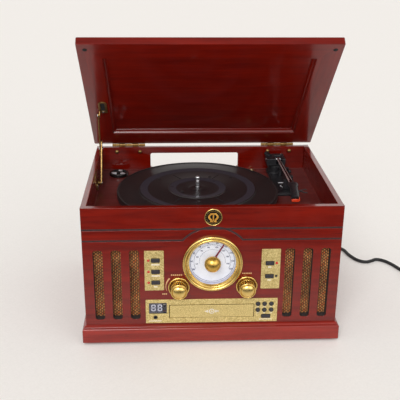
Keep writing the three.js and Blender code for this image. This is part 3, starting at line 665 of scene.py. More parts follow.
def side_panel(node, side):
    """A board whose outer face carries on the two painted grooves, with a rounded top edge."""
    outline = [(INNER_X, 0), (HALF, 0)]
    soft, floor = 0.45, HALF - GROOVE_DEPTH
    for z in GROOVES:
        under, over = z - GROOVE_HALF, z + GROOVE_HALF
        outline += [(HALF, under - soft), (HALF - soft, under), (floor, under)]
        outline += [(floor, over), (HALF - soft, over), (HALF, over + soft)]
    outline += arc(HALF - 1, RIM - 1, 1, 0, 90, 4) + arc(INNER_X + 1, RIM - 1, 1, 90, 180, 4)
    rings = [[(side * x, y, z) for x, z in outline] for y in (INNER_FRONT, BACK)]
    made = even_shading(loft(node + "_wood", rings, WOOD_Y))
    paint(made, GROOVE_PAINT, lambda where, normal: floor - 0.1 < abs(where.x) < HALF - 0.25
          and min(abs(where.z - z) for z in GROOVES) < GROOVE_HALF + 0.1)
    place(made, "cabinet", "mahogany", node)


side_panel("side_panel_left", -1)
side_panel("side_panel_right", 1)


def back_panel():
    """Round-edged board with the record slot and the opening behind the socket plate."""
    slot, half_slot, slot_low, slot_high = middle("platter").x, 91, 207, 239.5
    low, high = box("rear_jack_plate")
    lap = 6  # how far the socket plate overlaps its opening
    holes = [rounded(-slot - half_slot, -slot + half_slot, slot_low, slot_high, 4, 8),
             rectangle(-high.x + lap, -low.x - lap, low.z + lap, high.z - lap)]
    made = plate("back_panel_wood", rectangle(-INNER_X, INNER_X, 0, RIM), holes, rearward(INNER_BACK),
                 BACK - INNER_BACK, 0.9, WOOD_X, back=0.7)
    place(made, "cabinet", "mahogany", "back_panel")


back_panel()


def plinth():
    """Base moulding with a stepped top, mitred at the front corners."""
    low, high = box("plinth")
    side_out, front_out = high.x - HALF, FRONT - low.y
    section = [(0, 0), (0.94, 0), (1, 0.6), (1, 24.4), (0.95, 25.6), (0.84, 26.6), (0.7, 27.3),
               (0.5, 27.6), (0.47, 28.0), (0.47, 29.0), (0.42, 29.9), (0.3, 30.6), (0.1, 31.0),
               (0, 31.0)]
    soft = 0.9
    rings = []
    for side in (-1, 1):
        stations = [
            [(side * (HALF + t * side_out), BACK, z) for t, z in section],
            [(side * (HALF + t * side_out), FRONT - t * (front_out - soft), z) for t, z in section],
            [(side * (HALF + t * (side_out - soft)), FRONT - t * front_out, z) for t, z in section],
        ]
        rings += stations if side < 0 else stations[::-1]
    # the plinth's front and top carry the paler lacquer of painted sheen; its ends keep the plain wood
    made = even_shading(loft("plinth_moulding", rings, WOOD_PLINTH_PAINTED_SHEEN, sharp=28))
    paint(made, WOOD_Y, lambda where, normal: abs(normal.x) > 0.7)
    place(made, "cabinet", "mahogany", "plinth")


plinth()


def deck():
    """The small rounded joint between the deck board and the walls."""
    fillet, hollow = 1.8, 0.6
    rings = []
    for sx, sy in ((-1, -1), (1, -1), (1, 1), (-1, 1)):
        x, y = sx * INNER_X, INNER_FRONT if sy < 0 else INNER_BACK
        rings.append([(x, y, DECK), (x - sx * fillet, y - sy * fillet, DECK),
                      (x - sx * hollow, y - sy * hollow, DECK + hollow), (x, y, DECK + fillet)])
    # the fillet is in the deck's lacquer of painted sheen
    place(loft("deck_fillet", rings, WOOD_DECK_PAINTED_SHEEN, closed=True, sharp=80), "cabinet", "mahogany")


deck()


def underside():
    """The bottom board with its four rubber feet."""
    low, high = box("bottom_panel")
    parts = [block("bottom_board", (low.x, low.y, 0), (high.x, high.y, high.z), 1.0, SATIN_BLACK)]
    profile = [(0, 0.2), (9, 0.2), (9, -1.5), (8.4, -3.2), (7.4, -4), (3.6, -4), (3.2, -3.4),
               (3.0, -2.2), (0, -2.2)]
    foot_x, foot_y = 195, 140
    for x in (-foot_x, foot_x):
        for y in (-foot_y, foot_y):
            parts.append(lathe("foot", profile, (x, y, 0), UP, RUBBER, 40))
    place(merged("bottom_board_and_feet", parts), "cabinet", "black_plastic", "bottom_panel")


underside()


# ------------------------------------------------------------------ grilles
def grille(side_name, side):
    """Cloth of tan and copper threads stretched behind a black frame with the panel's three slots; its
    gaps carry painted shade, darkest over the speaker cone.
    """
    low, high = box("grille_cloth_" + side_name)
    board = plate("grille_frame_" + side_name, rectangle(low.x, high.x, low.z, high.z),
                  slot_outlines(side, 0.4), facing(low.y), low.y - INNER_FRONT - 0.2, 0.3, BAFFLE)
    place(board, "cabinet", "black_plastic")
    across, along = 3.2, 5.6  # the pitch of the threads and of the stitches
    fine = 0.6  # the size of the mesh
    bulge = 0.95  # how far a stitch stands off the gaps
    columns = round((high.x - low.x - 2) / fine)
    rows = round((high.z - low.z - 2) / fine)
    tan, copper = Vector((1.0, 0.42, 0.12)), Vector((0.95, 0.25, 0.05))
    # painted shade: the colour of the gaps between stitches, and a darker one for the gaps over the
    # speaker cone
    gap, deep = Vector((0.05, 0.024, 0.016)), Vector((0.008, 0.006, 0.006))
    dice = random.Random(side + 5)
    tone_count = 197
    tones = [dice.uniform(0.75, 1.15) for _ in range(tone_count)]
    cone = middle("speaker_" + side_name)
    points, colours = [], []
    for r in range(rows + 1):
        z = low.z + 1 + r * fine
        for c in range(columns + 1):
            x = low.x + 1 + c * fine
            thread = round(x / across)
            turn = z / along + 0.5 * (thread % 2)
            stitch = hypot((x / across - thread) * across / 1.25, (turn - round(turn)) * along / 2.5)
            lift = min(1.0, max(0.0, 1.45 - 1.3 * stitch))
            away = hypot(x - cone.x, z - cone.z)
            # shade runs from 0 over the speaker cone to 1 clear of it; over the cone the gaps and the
            # threads are painted darker
            shade = min(1.0, max(0.0, (away - 34) / 10))
            points.append((x, low.y + 0.75 - bulge * lift, z))
            tone = tones[(thread * 31 + round(turn) * 17) % tone_count]
            yarn = (tan if (thread + 3 * round(turn)) % 4 else copper) * tone
            colours.append(deep.lerp(gap, shade) * (1 - lift) + yarn * lift * (0.55 + 0.25 * shade))
    width = columns + 1
    faces = [(r * width + c, r * width + c + 1, (r + 1) * width + c + 1, (r + 1) * width + c)
             for r in range(rows) for c in range(columns)]
    sheet = bpy.data.meshes.new("cloth")
    sheet.from_pydata([Vector(p) * MM for p in points], [], faces)
    layer = sheet.color_attributes.new("thread", "FLOAT_COLOR", "POINT")
    layer.data.foreach_set("color", [v for colour in colours for v in (*colour, 1.0)])
    sheet.polygons.foreach_set("use_smooth", [True] * len(sheet.polygons))
    sheet.materials.append(CLOTH)
    made = show("grille_cloth_woven_" + side_name, sheet)
    thick = made.modifiers.new("thickness", "SOLIDIFY")
    thick.thickness = 0.5 * MM
    thick.offset = 1.0
    place(made, "cabinet", "grille_cloth", "grille_cloth_" + side_name)


grille("left", -1)
grille("right", 1)


# ------------------------------------------------------------------ badge and dial
def off_axis(where, centre):
    """How far a point lies from the front-to-back axis through a centre."""
    return hypot(where.x - centre.x, where.z - centre.z)


def front_lathe(name, profile, centre, material, **options):
    """A turned piece whose distances run out from the front panel."""
    return lathe(name, profile, (centre.x, FRONT, centre.z), OUT, material, **options)


def badge():
    """A gilt ring of beads round a lyre on black enamel."""
    centre = middle("badge")
    profile = [(0, 0), (15, 0), (15, 1.4), (14.7, 2.1), (14.3, 2.3), (13.9, 2.1), (13.7, 1.5),
               (11.5, 1.5), (11.3, 1.8), (11.0, 1.8), (10.8, 1.5), (0, 1.5)]
    ring = front_lathe("badge_ring", profile, centre, GILT, segments=96)
    disc = [(0, 1.45), (10.7, 1.45), (10.7, 1.62), (0, 1.62)]
    enamel = front_lathe("badge_enamel", disc, centre, ENAMEL)
    band = [(11.55, 1.4), (13.65, 1.4), (13.65, 1.62), (11.55, 1.62)]
    outer = front_lathe("badge_band", band, centre, ENAMEL, closed=True)
    parts = [ring, enamel, outer]
    for x, z in circle(centre.x, centre.z, 12.6, 20):
        at = (x, FRONT, z)
        parts.append(lathe("bead", [(0, 1.4), (0.5, 1.5), (0.42, 1.85), (0, 2)], at, OUT, GILT, 10))
    surface = facing(FRONT - 1.5)
    for side in (-1, 1):
        bow = [(side * (4.2 + 4.6 * sin(pi * t)), -6.2 + 13.6 * t) for t in (k / 12 for k in range(13))]
        inner = [(side * (2.0 + 3.6 * sin(pi * t)), -3.8 + 9.4 * t)
                 for t in (k / 12 for k in range(13))]
        outline = [(centre.x + a, centre.z + b) for a, b in bow + inner[::-1]]
        parts.append(plate("lyre_arm", outline, [], surface, 0.8, 0.2, GOLD_LEAF))
    for x0, x1, z0, z1 in ((-1.1, 1.1, -8, 6), (-5.4, 5.4, 5.0, 7.4), (-5.2, 5.2, -8.6, -5.6)):
        outline = rounded(centre.x + x0, centre.x + x1, centre.z + z0, centre.z + z1, 0.6)
        parts.append(plate("lyre_bar", outline, [], surface, 0.9, 0.2, GOLD_LEAF))
    place(merged("badge_lyre", parts), "cabinet", "gilt", "badge")


badge()


def text_mesh(name, labels, size, surface, depth, material):
    """Upright numerals centred on their points, as one thin mesh."""
    shape = bmesh.new()
    for label, x, z in labels:
        data = bpy.data.curves.new("numeral", "FONT")
        data.body = label
        data.size = size * MM
        data.align_x = "CENTER"
        data.align_y = "CENTER"
        data.extrude = depth / 2 * MM
        data.offset = 0.12 * MM  # emboldens the strokes
        data.resolution_u = 3
        mesh = as_mesh(show("numeral", data))
        mesh.transform(moved(x, surface - depth / 2, z) @ Matrix.Rotation(pi / 2, 4, "X"))
        shape.from_mesh(mesh)
    mesh = bpy.data.meshes.new(name)
    shape.to_mesh(mesh)
    shape.free()
    mesh.materials.clear()
    mesh.materials.append(material)
    mesh.polygons.foreach_set("material_index", [0] * len(mesh.polygons))
    return show(name, mesh)


def dial():
    """Rolled gilt bezel, printed face with two number rings, and a domed clear lens."""
    profile = [(51.6, 0), (51.6, 2.9)] + arc(48.7, 3.1, 2.9, 0, 150, 14)
    profile += arc(44.0, 3.2, 1.8, 20, 165, 12)
    profile += [(41.6, 2.9), (40.6, 1.8), (40, 0.9), (40, -7), (42.6, -7), (42.6, 0)]
    rolled = front_lathe("dial_bezel_gilt", profile, DIAL, GILT, segments=180, closed=True)
    paint(rolled, SEAT_GREY, lambda where, normal: FRONT - where.y < 0.8
          and off_axis(where, DIAL) < 40.2)
    place(rolled, "cabinet", "gilt", "dial_bezel")
    low, high = box("dial_face")
    front, back = FRONT - low.y, FRONT - high.y
    card = [(2.2, front), (42.5, front), (42.5, back), (2.2, back)]
    # the card glows with painted light
    face = front_lathe("dial_card", card, DIAL, DIAL_WHITE_GLOWING, segments=96, closed=True)
    place(face, "cabinet", "dial_white", "dial_face")
    rim, fm, am = 38.6, 31.6, 22.6
    fm_start, am_start = 205, 190
    marks = []

    def ink(outer, holes=()):
        """A printed shape on the card."""
        marks.append(plate("dial_mark", outer, list(holes), facing(low.y), PRINT, 0.0, DIAL_INK))

    def swept(radius, start, stop):
        """Points round the dial."""
        return arc(DIAL.x, DIAL.z, radius, start, stop, 60)

    def numbers(name, values, radius, start, size):
        """Numbers spread evenly over the dial, from a start angle to its mirror image."""
        step = 2 * (start - 90) / (len(values) - 1)
        turns = [radians(start - k * step) for k in range(len(values))]
        labels = [(str(value), DIAL.x + radius * cos(t), DIAL.z + radius * sin(t))
                  for value, t in zip(values, turns)]
        marks.append(text_mesh(name, labels, size, low.y, PRINT, DIAL_INK))

    ink(swept(rim, 360, 0)[:-1], [swept(rim - 0.7, 0, 360)[:-1]])
    for radius, start in ((fm, fm_start), (am, am_start)):
        ink(swept(radius, start, 180 - start) + swept(radius - 0.4, 180 - start, start))
    ticks, half_tick = 45, 0.006
    for k in range(ticks):
        turn = radians(fm_start - k * 2 * (fm_start - 90) / (ticks - 1))
        end = fm + (1.9 if k % 4 == 0 else 1.0)
        ink([(DIAL.x + r * cos(turn + t), DIAL.z + r * sin(turn + t))
             for r, t in ((fm, half_tick), (end, half_tick), (end, -half_tick), (fm, -half_tick))])
    numbers("fm_numbers", (88, 90, 92, 94, 96, 98, 100, 104, 106, 108), 35.4, fm_start, 4.4)
    numbers("am_numbers", (53, 60, 70, 80, 100, 120, 140, 160), 27.2, am_start, 4.0)
    place(merged("dial_scale", marks), "cabinet", "dial_white")
    glass = [(6.4, -0.7), (16, -0.9), (26, -1.7), (39.7, -3.2), (39.7, -2.2), (34, -1.2), (26, -0.4),
             (16, 0.3), (6.4, 0.5)]
    lens = front_lathe("dial_glass", glass, DIAL, LENS, segments=96, closed=True, sharp=50)
    place(lens, "cabinet", "clear_lens", "dial_lens")


def pointer():
    """A tall gilt boss that stands through the lens, and its crimson needle."""
    dome = [(0, -14), (1.8, -14), (1.8, -6.6), (6, -6.6), (6, 1.6), (13.6, 1.6), (14.1, 1.9)]
    dome += [(14.3 * cos(t), 3.5 + 13 * sin(t)) for t in (k * pi / 32 for k in range(17))]
    # the boss is in the darker gilt of painted shade
    hub = front_lathe("pointer_hub", dome, DIAL, GILT_DOME_PAINTED_SHADE, segments=96, sharp=60)
    place(hub, "pointer", "gilt", "dial_pointer")
    from_top = 31
    corners = ((5.4, -1.5), (38.8, -1.1), (38.8, 1.1), (5.4, 1.5))
    outline = radial((DIAL.x, DIAL.z), radians(90 - from_top), corners)
    needle = plate("pointer_needle", outline, [], facing(FRONT + 6.0), 0.9, 0.25, CRIMSON)
    place(needle, "pointer", "pointer_red")


dial()
pointer()


def knob(node, body):
    """Flanged knob with a fluted barrel, a beaded rim and a domed cap."""
    centre = middle(node)
    base = [(0, -13), (3.2, -13), (3.2, 0.5), (18.2, 0.5)] + arc(17.3, 2.1, 1.4, -50, 160, 9)
    base += [(15.9, 1.4), (15.2, 1.2), (13.4, 1.2), (13.4, 3.5), (0, 3.5)]
    flange = front_lathe("flange", base, centre, GILT, segments=96)
    # painted shade in the flange's sunk ring
    paint(flange, GILT_PAINTED_SHADE, lambda where, normal: FRONT - where.y < 1.9
          and 12 < off_axis(where, centre) < 16)
    flutes = 24

    def fluting(angle, radius, distance):
        """Sharp-edged hollows round the barrel."""
        if 11 < radius and 3.6 < distance < 18:
            return -1.3 * max(0.0, sin(angle * flutes) + 0.1) ** 0.5
        return 0

    profile = [(0, 3.3), (12.9, 3.3), (12.9, 3.9), (12.9, 17.6), (12.9, 18.2), (0, 18.2)]
    barrel = front_lathe("barrel", profile, centre, GILT, segments=flutes * 8, wave=fluting, sharp=60)
    # painted shade in the hollows of the flutes
    paint(barrel, GILT_PAINTED_SHADE, lambda where, normal: 3.6 < FRONT - where.y < 18
          and off_axis(where, centre) < 12.6)
    rim = [(0, 17.9), (12.4, 17.9)] + arc(13.1, 19.1, 1.25, -80, 130, 10) + [(12.0, 19.6)]
    cap = [(11.8 * cos(t), 19.7 + 5.8 * sin(t)) for t in (k * pi / 28 for k in range(15))]
    front = front_lathe("cap", rim + cap, centre, GILT, segments=96, sharp=50)
    place(merged(node + "_gilt", [flange, barrel, front]), body, "gilt", node)


knob("volume_knob", "volume")
knob("tuning_knob", "tuning")


def knob_marks():
    """Generic dashes above the knobs and the tapering scale beside the volume knob."""
    volume, tuning = middle("volume_knob"), middle("tuning_knob")
    parts = bars("volume_mark", volume.x - 3.5, 127.5, 20, 2.4, 6, FRONT, TAN_PRINT)
    parts += bars("tuning_mark", tuning.x + 0.3, 129, 17, 2.2, 6, FRONT, TAN_PRINT)
    parts += bars("off_mark", volume.x - 24.2, 91, 9, 2.4, 3, FRONT, TAN_PRINT)
    start, stop, steps = 133, 199, 11
    inner = arc(volume.x, volume.z, 21.8, start, stop, steps)
    outer = []
    for k in range(steps + 1):
        turn, radius = radians(stop + (start - stop) * k / steps), 22.3 + 2.1 * k / steps
        outer.append((volume.x + radius * cos(turn), volume.z + radius * sin(turn)))
    parts.append(plate("volume_wedge", inner + outer, [], facing(FRONT), PRINT, 0.0, TAN_PRINT))
    place(merged("knob_marks", parts), "cabinet", "champagne")


knob_marks()


# ------------------------------------------------------------------ plates, keys and lamps
def key_cap(node, body):
    """A rectangular key."""
    low, high = box(node)
    outline, thick = around(node, radius=1.0, steps=4), high.y - low.y
    made = plate(node + "_cap", outline, [], facing(high.y), thick, 0.7, DARK_KEY, back=0.3)
    place(made, body, "black_plastic", node)


def round_key(node, body):
    """A round key with a dished face and a small nipple."""
    low, high = box(node)
    centre, radius = (low + high) / 2, (high.x - low.x) / 2
    proud = FRONT - low.y
    profile = [(0, FRONT - high.y), (radius, FRONT - high.y), (radius, proud - 1.0),
               (radius - 0.3, proud - 0.3), (radius - 0.9, proud), (radius - 1.5, proud - 0.25),
               (1.2, proud - 0.6), (0.8, proud - 0.2), (0, proud - 0.1)]
    place(front_lathe(node + "_cap", profile, centre, DARK_KEY, segments=40), body, "black_plastic",
          node)


def lamp(name, x, z, material):
    """A small domed lamp in a key plate."""
    base = FRONT - box("source_plate")[0].y
    profile = [(0, base - 0.4), (2.3, base - 0.4), (2.3, base + 0.25), (1.9, base + 0.35)]
    profile += [(1.8 * cos(t), base + 0.3 + 1.1 * sin(t)) for t in (k * pi / 12 for k in range(7))]
    place(front_lathe(name, profile, Vector((x, 0, z)), material, segments=28), "cabinet",
          "pointer_red")


def key_plate(node, keys):
    """A speckled plate pierced for its keys."""
    face = box(node)[0].y
    holes = [around(key, 0.35, 1.2, 3) for key in keys]
    outline = around(node, radius=1.2)
    made = plate(node + "_metal", outline, holes, facing(FRONT), FRONT - face, 0.45, CHAMPAGNE)
    place(made, "cabinet", "champagne", node)


key_plate("source_plate", SOURCE_KEYS)
key_plate("band_plate", BAND_KEYS)
PLATE_FACE = box("source_plate")[0].y
legends = []
for number, key in enumerate(SOURCE_KEYS):
    spot = middle(key)
    key_cap(key, f"source_{number + 1}")
    lamp(f"source_lamp_{number + 1}", spot.x - 12, spot.z, RED_LAMP)
    wide = (14, 14, 6)[number]
    legends += bars("source_legend", spot.x + 0.3, spot.z - 7.8, wide, 2.8, wide // 2, PLATE_FACE,
                    PALE_PRINT)
for number, key in enumerate(BAND_KEYS):
    spot = middle(key)
    key_cap(key, f"band_{number + 1}")
    lamp(f"band_lamp_{number + 1}", spot.x + 11.6, spot.z + 0.2, (RED_LAMP, ENAMEL)[number])
    legends += bars("band_legend", spot.x, spot.z - 7.4, 6, 2.6, 3, PLATE_FACE, PALE_PRINT)
for number, key in enumerate(ROUND_KEYS):
    round_key(key, f"cd_{number + 1}")
key_cap("open_button", "open_key")


def cd_fascia():
    """The disc section's plate and headphone socket; returns the legends printed on it."""
    face = box("cd_fascia")[0].y
    low, high = box("display_window")
    jack = (middle("display_window").x - 4.4, 45.3)
    glazed = rounded(low.x + 1.4, high.x - 1.6, low.z + 1.4, high.z - 1.4, 0.8, 3)
    holes = [around("cd_tray", 1.1, 0.8, 3), glazed, circle(*jack, 3.5, 32)]
    for key in ROUND_KEYS:
        spot = middle(key)
        holes.append(circle(spot.x, spot.z, box(key)[1].x - spot.x + 0.35, 32))
    holes.append(around("open_button", 0.4, 1.2, 3))
    outline = around("cd_fascia", radius=1.2)
    made = plate("cd_fascia_metal", outline, holes, facing(FRONT), FRONT - face, 0.45, CHAMPAGNE)
    place(made, "cabinet", "champagne", "cd_fascia")
    spot = Vector((jack[0], 0, jack[1]))
    socket = [(1.7, -6), (3.4, -6), (3.4, 1.9), (3.1, 2.2), (2.5, 2.2), (1.7, 1.5)]
    made = front_lathe("headphone_socket", socket, spot, SATIN_BLACK, segments=36, closed=True)
    place(made, "cabinet", "black_plastic")
    parts = bars("socket_legend", jack[0], 38.4, 22, 1.8, 9, face, PALE_PRINT)
    parts += bars("open_legend", middle("open_button").x, 38.8, 22, 1.6, 9, face, PALE_PRINT)
    for key in ROUND_KEYS:
        spot = middle(key)
        parts += bars("track_legend", spot.x, spot.z - 6.0, 4, 1.2, 2, face, PALE_PRINT)
    return parts


legends += cd_fascia()
place(merged("printed_legends", legends), "cabinet", "champagne")


def display():
    """Grey window with a two-figure seven-segment read-out and a dark strip of symbols."""
    low, high = box("display_window")
    face = low.y
    split = high.x - 9.5
    bed = face + 0.8
    strip = rectangle(split, high.x - 1.7, low.z + 2, high.z - 2)
    parts = [block("display_bed", (low.x, bed, low.z), high, 0.2, DISPLAY_GREY),
             plate("display_strip", strip, [], facing(bed), 0.05, 0.0, DISPLAY_DARK)]
    place(merged("display_panel", parts), "cabinet", "smoked_window", "display_window")
    segments = []
    middle_z = (low.z + high.z) / 2
    wide, tall, thick = 7.6, 13.0, 1.7

    def stroke(x, z, flat):
        """One lying or upright segment of a figure."""
        half_long, half = (wide / 2 - 1.2, thick / 2) if flat else (tall / 4 - 0.5, thick / 2)
        shape = [(-half_long, 0), (-half_long + half, -half), (half_long - half, -half), (half_long, 0),
                 (half_long - half, half), (-half_long + half, half)]
        if not flat:
            shape = [(b, a) for a, b in shape]
        outline = [(x + a, z + b) for a, b in shape]
        segments.append(plate("stroke", outline, [], facing(bed), 0.07, 0.0, FIGURES))

    for x in (low.x + 9.2, low.x + 20.4):
        for step in (-1, 0, 1):
            stroke(x, middle_z + step * (tall / 2 - thick / 2), True)
        for side in (-1, 1):
            for step in (-1, 1):
                stroke(x + side * (wide / 2 - thick / 2), middle_z + step * tall / 4, False)
    segments += bars("symbol_top", split + 4, high.z - 5.4, 4, 0.9, 2, face + 0.75, PALE_PRINT)
    segments += bars("symbol_low", split + 4, low.z + 6, 4, 0.9, 2, face + 0.75, RED_LAMP)
    place(merged("display_figures", segments), "cabinet", "smoked_window")
    near, far = (low.x + 0.2, face, low.z + 0.2), (high.x - 0.2, face + 0.5, high.z - 0.2)
    place(block("display_pane", near, far, 0.1, WINDOW), "cabinet", "smoked_window")


display()


def cd_drawer():
    """Champagne front with a ring and bars as its mark, and a black tray with a stepped seat."""
    low, high = box("cd_tray")
    back = FRONT + 3
    outline = around("cd_tray", radius=0.8, steps=3)
    front = plate("drawer_front", outline, [], facing(back), back - low.y, 0.5, CHAMPAGNE, back=0.3)
    centre = ((low.x + high.x) / 2, (low.z + high.z) / 2)
    shapes = [(circle(*centre, 4.6, 40), [circle(*centre, 3.7, 40)]), (circle(*centre, 1.1, 20), [])]
    for side in (-1, 1):
        for k in range(3):
            x, tall = centre[0] + side * (7 + 2.2 * k), 2.6 - 0.8 * k
            shapes.append((rectangle(x - 0.5, x + 0.5, centre[1] - tall, centre[1] + tall), []))
    mark = [plate("mark", outer, holes, facing(low.y), PRINT, 0.0, WHITE_PRINT)
            for outer, holes in shapes]
    place(front, "drawer", "champagne", "cd_tray")
    place(merged("drawer_mark", mark), "drawer", "champagne")
    seat, half_tray = FRONT + 68, 66
    sill, top, floor = 50.0, 61.0, 58.0
    tray, well = rounded(-half_tray, half_tray, back, high.y, 3, 4), circle(0, seat, 61, 96)
    laser_slot = rounded(-17, 17, seat - 17, high.y - 2, 6, 5)
    lower = plate("tray_floor", tray, [laser_slot], lying(sill), floor - sill, 0.4, SATIN_BLACK,
                  back=0.4)
    rim = plate("tray_rim", tray, [well], lying(floor), top - floor, 0.8, SATIN_BLACK)
    step = plate("tray_step", well, [circle(0, seat, 41, 72)], lying(floor), 1.0, 0.4, SATIN_BLACK)
    place(merged("drawer_tray", [lower, rim, step]), "drawer", "black_plastic")


cd_drawer()


# ------------------------------------------------------------------ lid, hinges and stay
LID_OPEN = radians(46.2)
HINGE = pivot("lid_hinge")
LID_FRAME = Matrix.Translation(HINGE * MM) @ Matrix.Rotation(-LID_OPEN, 4, "X")


def in_lid(made):
    """Moves a piece drawn as it lies when the lid is closed, from the hinge line, to the open lid."""
    made.matrix_world = LID_FRAME
    return made


def lid():
    """A board with an eased rim, a mitred frame below and a stepped moulding round its sunk panel."""
    half, back, length, thick, rail = 225.5, -5.0, 340.0, 14.8, 49.3
    section = [(14, thick), (1.6, thick), (0.8, thick - 0.25), (0.25, thick - 0.8), (0, thick - 1.6),
               (0, 1.4), (0.2, 0.6), (0.6, 0.2), (1.4, 0), (40.4, 0), (40.9, 0.15), (41.2, 0.6),
               (41.25, 1.6), (42.6, 1.7), (42.9, 2.2), (43.3, 3.8), (44.2, 5.3), (45.6, 6.4),
               (47.2, 6.9), (47.4, 7.9), (49.2, 8.0)]
    rings = []
    for inset, z in section:
        corner = max(0.5, 2.0 - inset * 0.2)
        outline = rounded(inset - half, half - inset, back - length + inset, back - inset, corner, 3)
        rings.append([(x, y, z) for x, y in outline])
    made = even_shading(loft("lid_board", rings, WOOD_X, sharp=28))

    def on_side_rail(where, normal):
        """Whether a face belongs to a side of the mitred frame."""
        from_side = half - abs(where.x)
        from_end = min(back - where.y, where.y - back + length)
        return from_side < from_end and from_side < rail

    paint(made, WOOD_Y, on_side_rail)
    place(in_lid(made), "lid", "mahogany", "lid")
    dome = [(0, 1), (4.2, 1), (4.2, 0.1), (3.8, -0.25), (2.8, -0.42), (0, -0.45)]
    bumpers = [lathe("bumper", dome, (x, -329, 0), UP, RUBBER, 28) for x in (-211.5, 211.5)]
    place(in_lid(merged("lid_bumpers", bumpers)), "lid", "black_rubber")


lid()


def screw(at, out, material, radius):
    """A low domed head with a sunk centre."""
    profile = [(0, -0.3), (radius, -0.3), (radius, 0.15), (radius * 0.8, 0.6), (radius * 0.5, 0.85),
               (radius * 0.34, 0.85), (radius * 0.3, 0.35), (0, 0.3)]
    return lathe("screw", profile, at, out, material, 24)


def hinge_leaf(node, x, origin, edge, first):
    """A leaf with its screws and every second knuckle of the barrel."""
    width, knuckles, radius = 68.0, 5, 2.7
    face, pitch = origin.y - 5 + 0.3, width / knuckles
    start = x - width / 2
    low, high = sorted((origin.z + 1.5 * edge, origin.z + 16 * edge))
    outline = rounded(-start - width, -start, low, high, 1.6, 3)
    # the leaf, knuckles, webs and screws are in the darker brass of painted shade
    parts = [plate("leaf", outline, [], rearward(face), 1.5, 0.35, BRASS_PAINTED_SHADE)]
    for k in range(first, knuckles, 2):
        left, right = start + k * pitch + 0.15, start + (k + 1) * pitch - 0.15
        long = right - left
        barrel = [(0, 0), (radius - 0.3, 0), (radius, 0.3)]
        barrel += [(radius, long - 0.3), (radius - 0.3, long), (0, long)]
        parts.append(lathe("knuckle", barrel, (left, origin.y, origin.z), SIDE, BRASS_PAINTED_SHADE, 32))
        web = sorted((origin.z, origin.z + 2.8 * edge))
        parts.append(block("web", (left, face, web[0]), (right, origin.y - 0.4, web[1]), 0.2,
                           BRASS_PAINTED_SHADE))
    for k in (-1, 0, 1):
        parts.append(screw((x + k * 24, face + 1.5, origin.z + 9.4 * edge), -OUT, BRASS_PAINTED_SHADE, 3.1))
    return merged(node + "_brass", parts)


for side, x in (("left", -155.0), ("right", 155.0)):
    body_leaf, lid_leaf = f"hinge_{side}_body_leaf", f"hinge_{side}_lid_leaf"
    place(hinge_leaf(body_leaf, x, HINGE, -1, 0), "cabinet", "brass", body_leaf)
    place(in_lid(hinge_leaf(lid_leaf, x, Vector((0, 0, 0)), 1, 1)), "lid", "brass", lid_leaf)


def stay():
    """Two flat brass arms with domed rivets, a wall bracket and an arched bracket under the lid."""
    # the stay's arms and brackets are in the darker brass of painted shade
    reach, tail, half, thick = 68.0, 12.0, 4.0, 2.4
    upper_x, lower_x = box("stay_upper_arm")[0].x, box("stay_lower_arm")[0].x
    wall, lid_point = pivot("stay_lower_hinge"), pivot("stay_upper_hinge")
    run = hypot(lid_point.y - wall.y, lid_point.z - wall.z)
    aim = atan2(lid_point.z - wall.z, lid_point.y - wall.y)
    bend = acos(run / 2 / reach)

    def arm(name, side, angle, start, ends):
        """A flat arm with a rivet at each of its ends."""
        outline = arc(0, 0, half, 90, 270, 8) + arc(reach + tail, 0, half, -90, 90, 8)
        parts = [plate(name, outline, [], sideways(side), thick, 0.45, BRASS_PAINTED_SHADE, back=0.3)]
        for y, out in ends:
            base = side + thick if out > 0 else side
            head = [(0, -0.2), (3.1, -0.2), (3.0, 0.5), (2.2, 1.2), (1.0, 1.5), (0, 1.55)]
            parts.append(lathe("rivet", head, (base, y, 0), SIDE * out, STEEL, 24))
        made = merged(name, parts)
        made.matrix_world = moved(0, start.y, start.z) @ Matrix.Rotation(angle, 4, "X")
        return made

    lower = arm("stay_lower_brass", lower_x, aim - bend, wall, ((0, 1), (reach, 1)))
    place(lower, "stay_lower", "brass", "stay_lower_arm")
    upper = arm("stay_upper_brass", upper_x, aim + pi + bend, lid_point, ((0, -1), (reach, -1)))
    place(upper, "stay_upper", "brass", "stay_upper_arm")
    edge = -INNER_X
    outline = rounded(wall.y - 26, wall.y + 9, wall.z - 8, wall.z + 8, 5.5, 5)
    parts = [plate("wall_plate", outline, [], sideways(edge + 0.3), 1.4, 0.4, BRASS_PAINTED_SHADE)]
    post = [(0, 0), (4.5, 0), (4.5, 4.6), (4.1, 5.0), (0, 5.0)]
    parts.append(lathe("wall_post", post, (edge + 0.6, wall.y, wall.z), SIDE, BRASS_PAINTED_SHADE, 32))
    parts.append(screw((edge + 1.7, wall.y - 19, wall.z), SIDE, STEEL, 2.8))
    place(merged("stay_wall_bracket", parts), "cabinet", "brass", "stay_base_bracket")
    near, far = -129.9, -167.9
    left, right = box("stay_lid_bracket")[0].x, box("stay_lid_bracket")[1].x
    centre, radius = (left + right) / 2, (right - left) / 2
    bow = far + radius
    arch = [(left, near), (right, near), (right, bow)] + arc(centre, bow, radius, 0, -180, 12)[1:]
    window = [(left + 4, near - 7), (right - 4, near - 7), (right - 4, bow)]
    window += arc(centre, bow, radius - 4, 0, -180, 10)[1:]
    parts = [plate("lid_plate", arch, [window], hanging(-0.3), 1.4, 0.35, BRASS_PAINTED_SHADE)]
    ear = [(near + 6.9, -0.4), (near + 6.9, -6)] + arc(near + 1.0, -6.5, 4.2, 0, -180, 8)
    ear.append((near - 6.1, -0.4))
    parts.append(plate("lid_ear", ear, [], sideways(left), 1.6, 0.35, BRASS_PAINTED_SHADE))
    parts.append(screw((centre, near - 3.4, -1.7), -UP, STEEL, 2.4))
    place(in_lid(merged("stay_lid_brass", parts)), "lid", "brass", "stay_lid_bracket")
    felt = plate("stay_lid_felt", window, [], hanging(-0.05), 0.7, 0.1, RUBBER)
    place(in_lid(felt), "lid", "black_rubber")


stay()


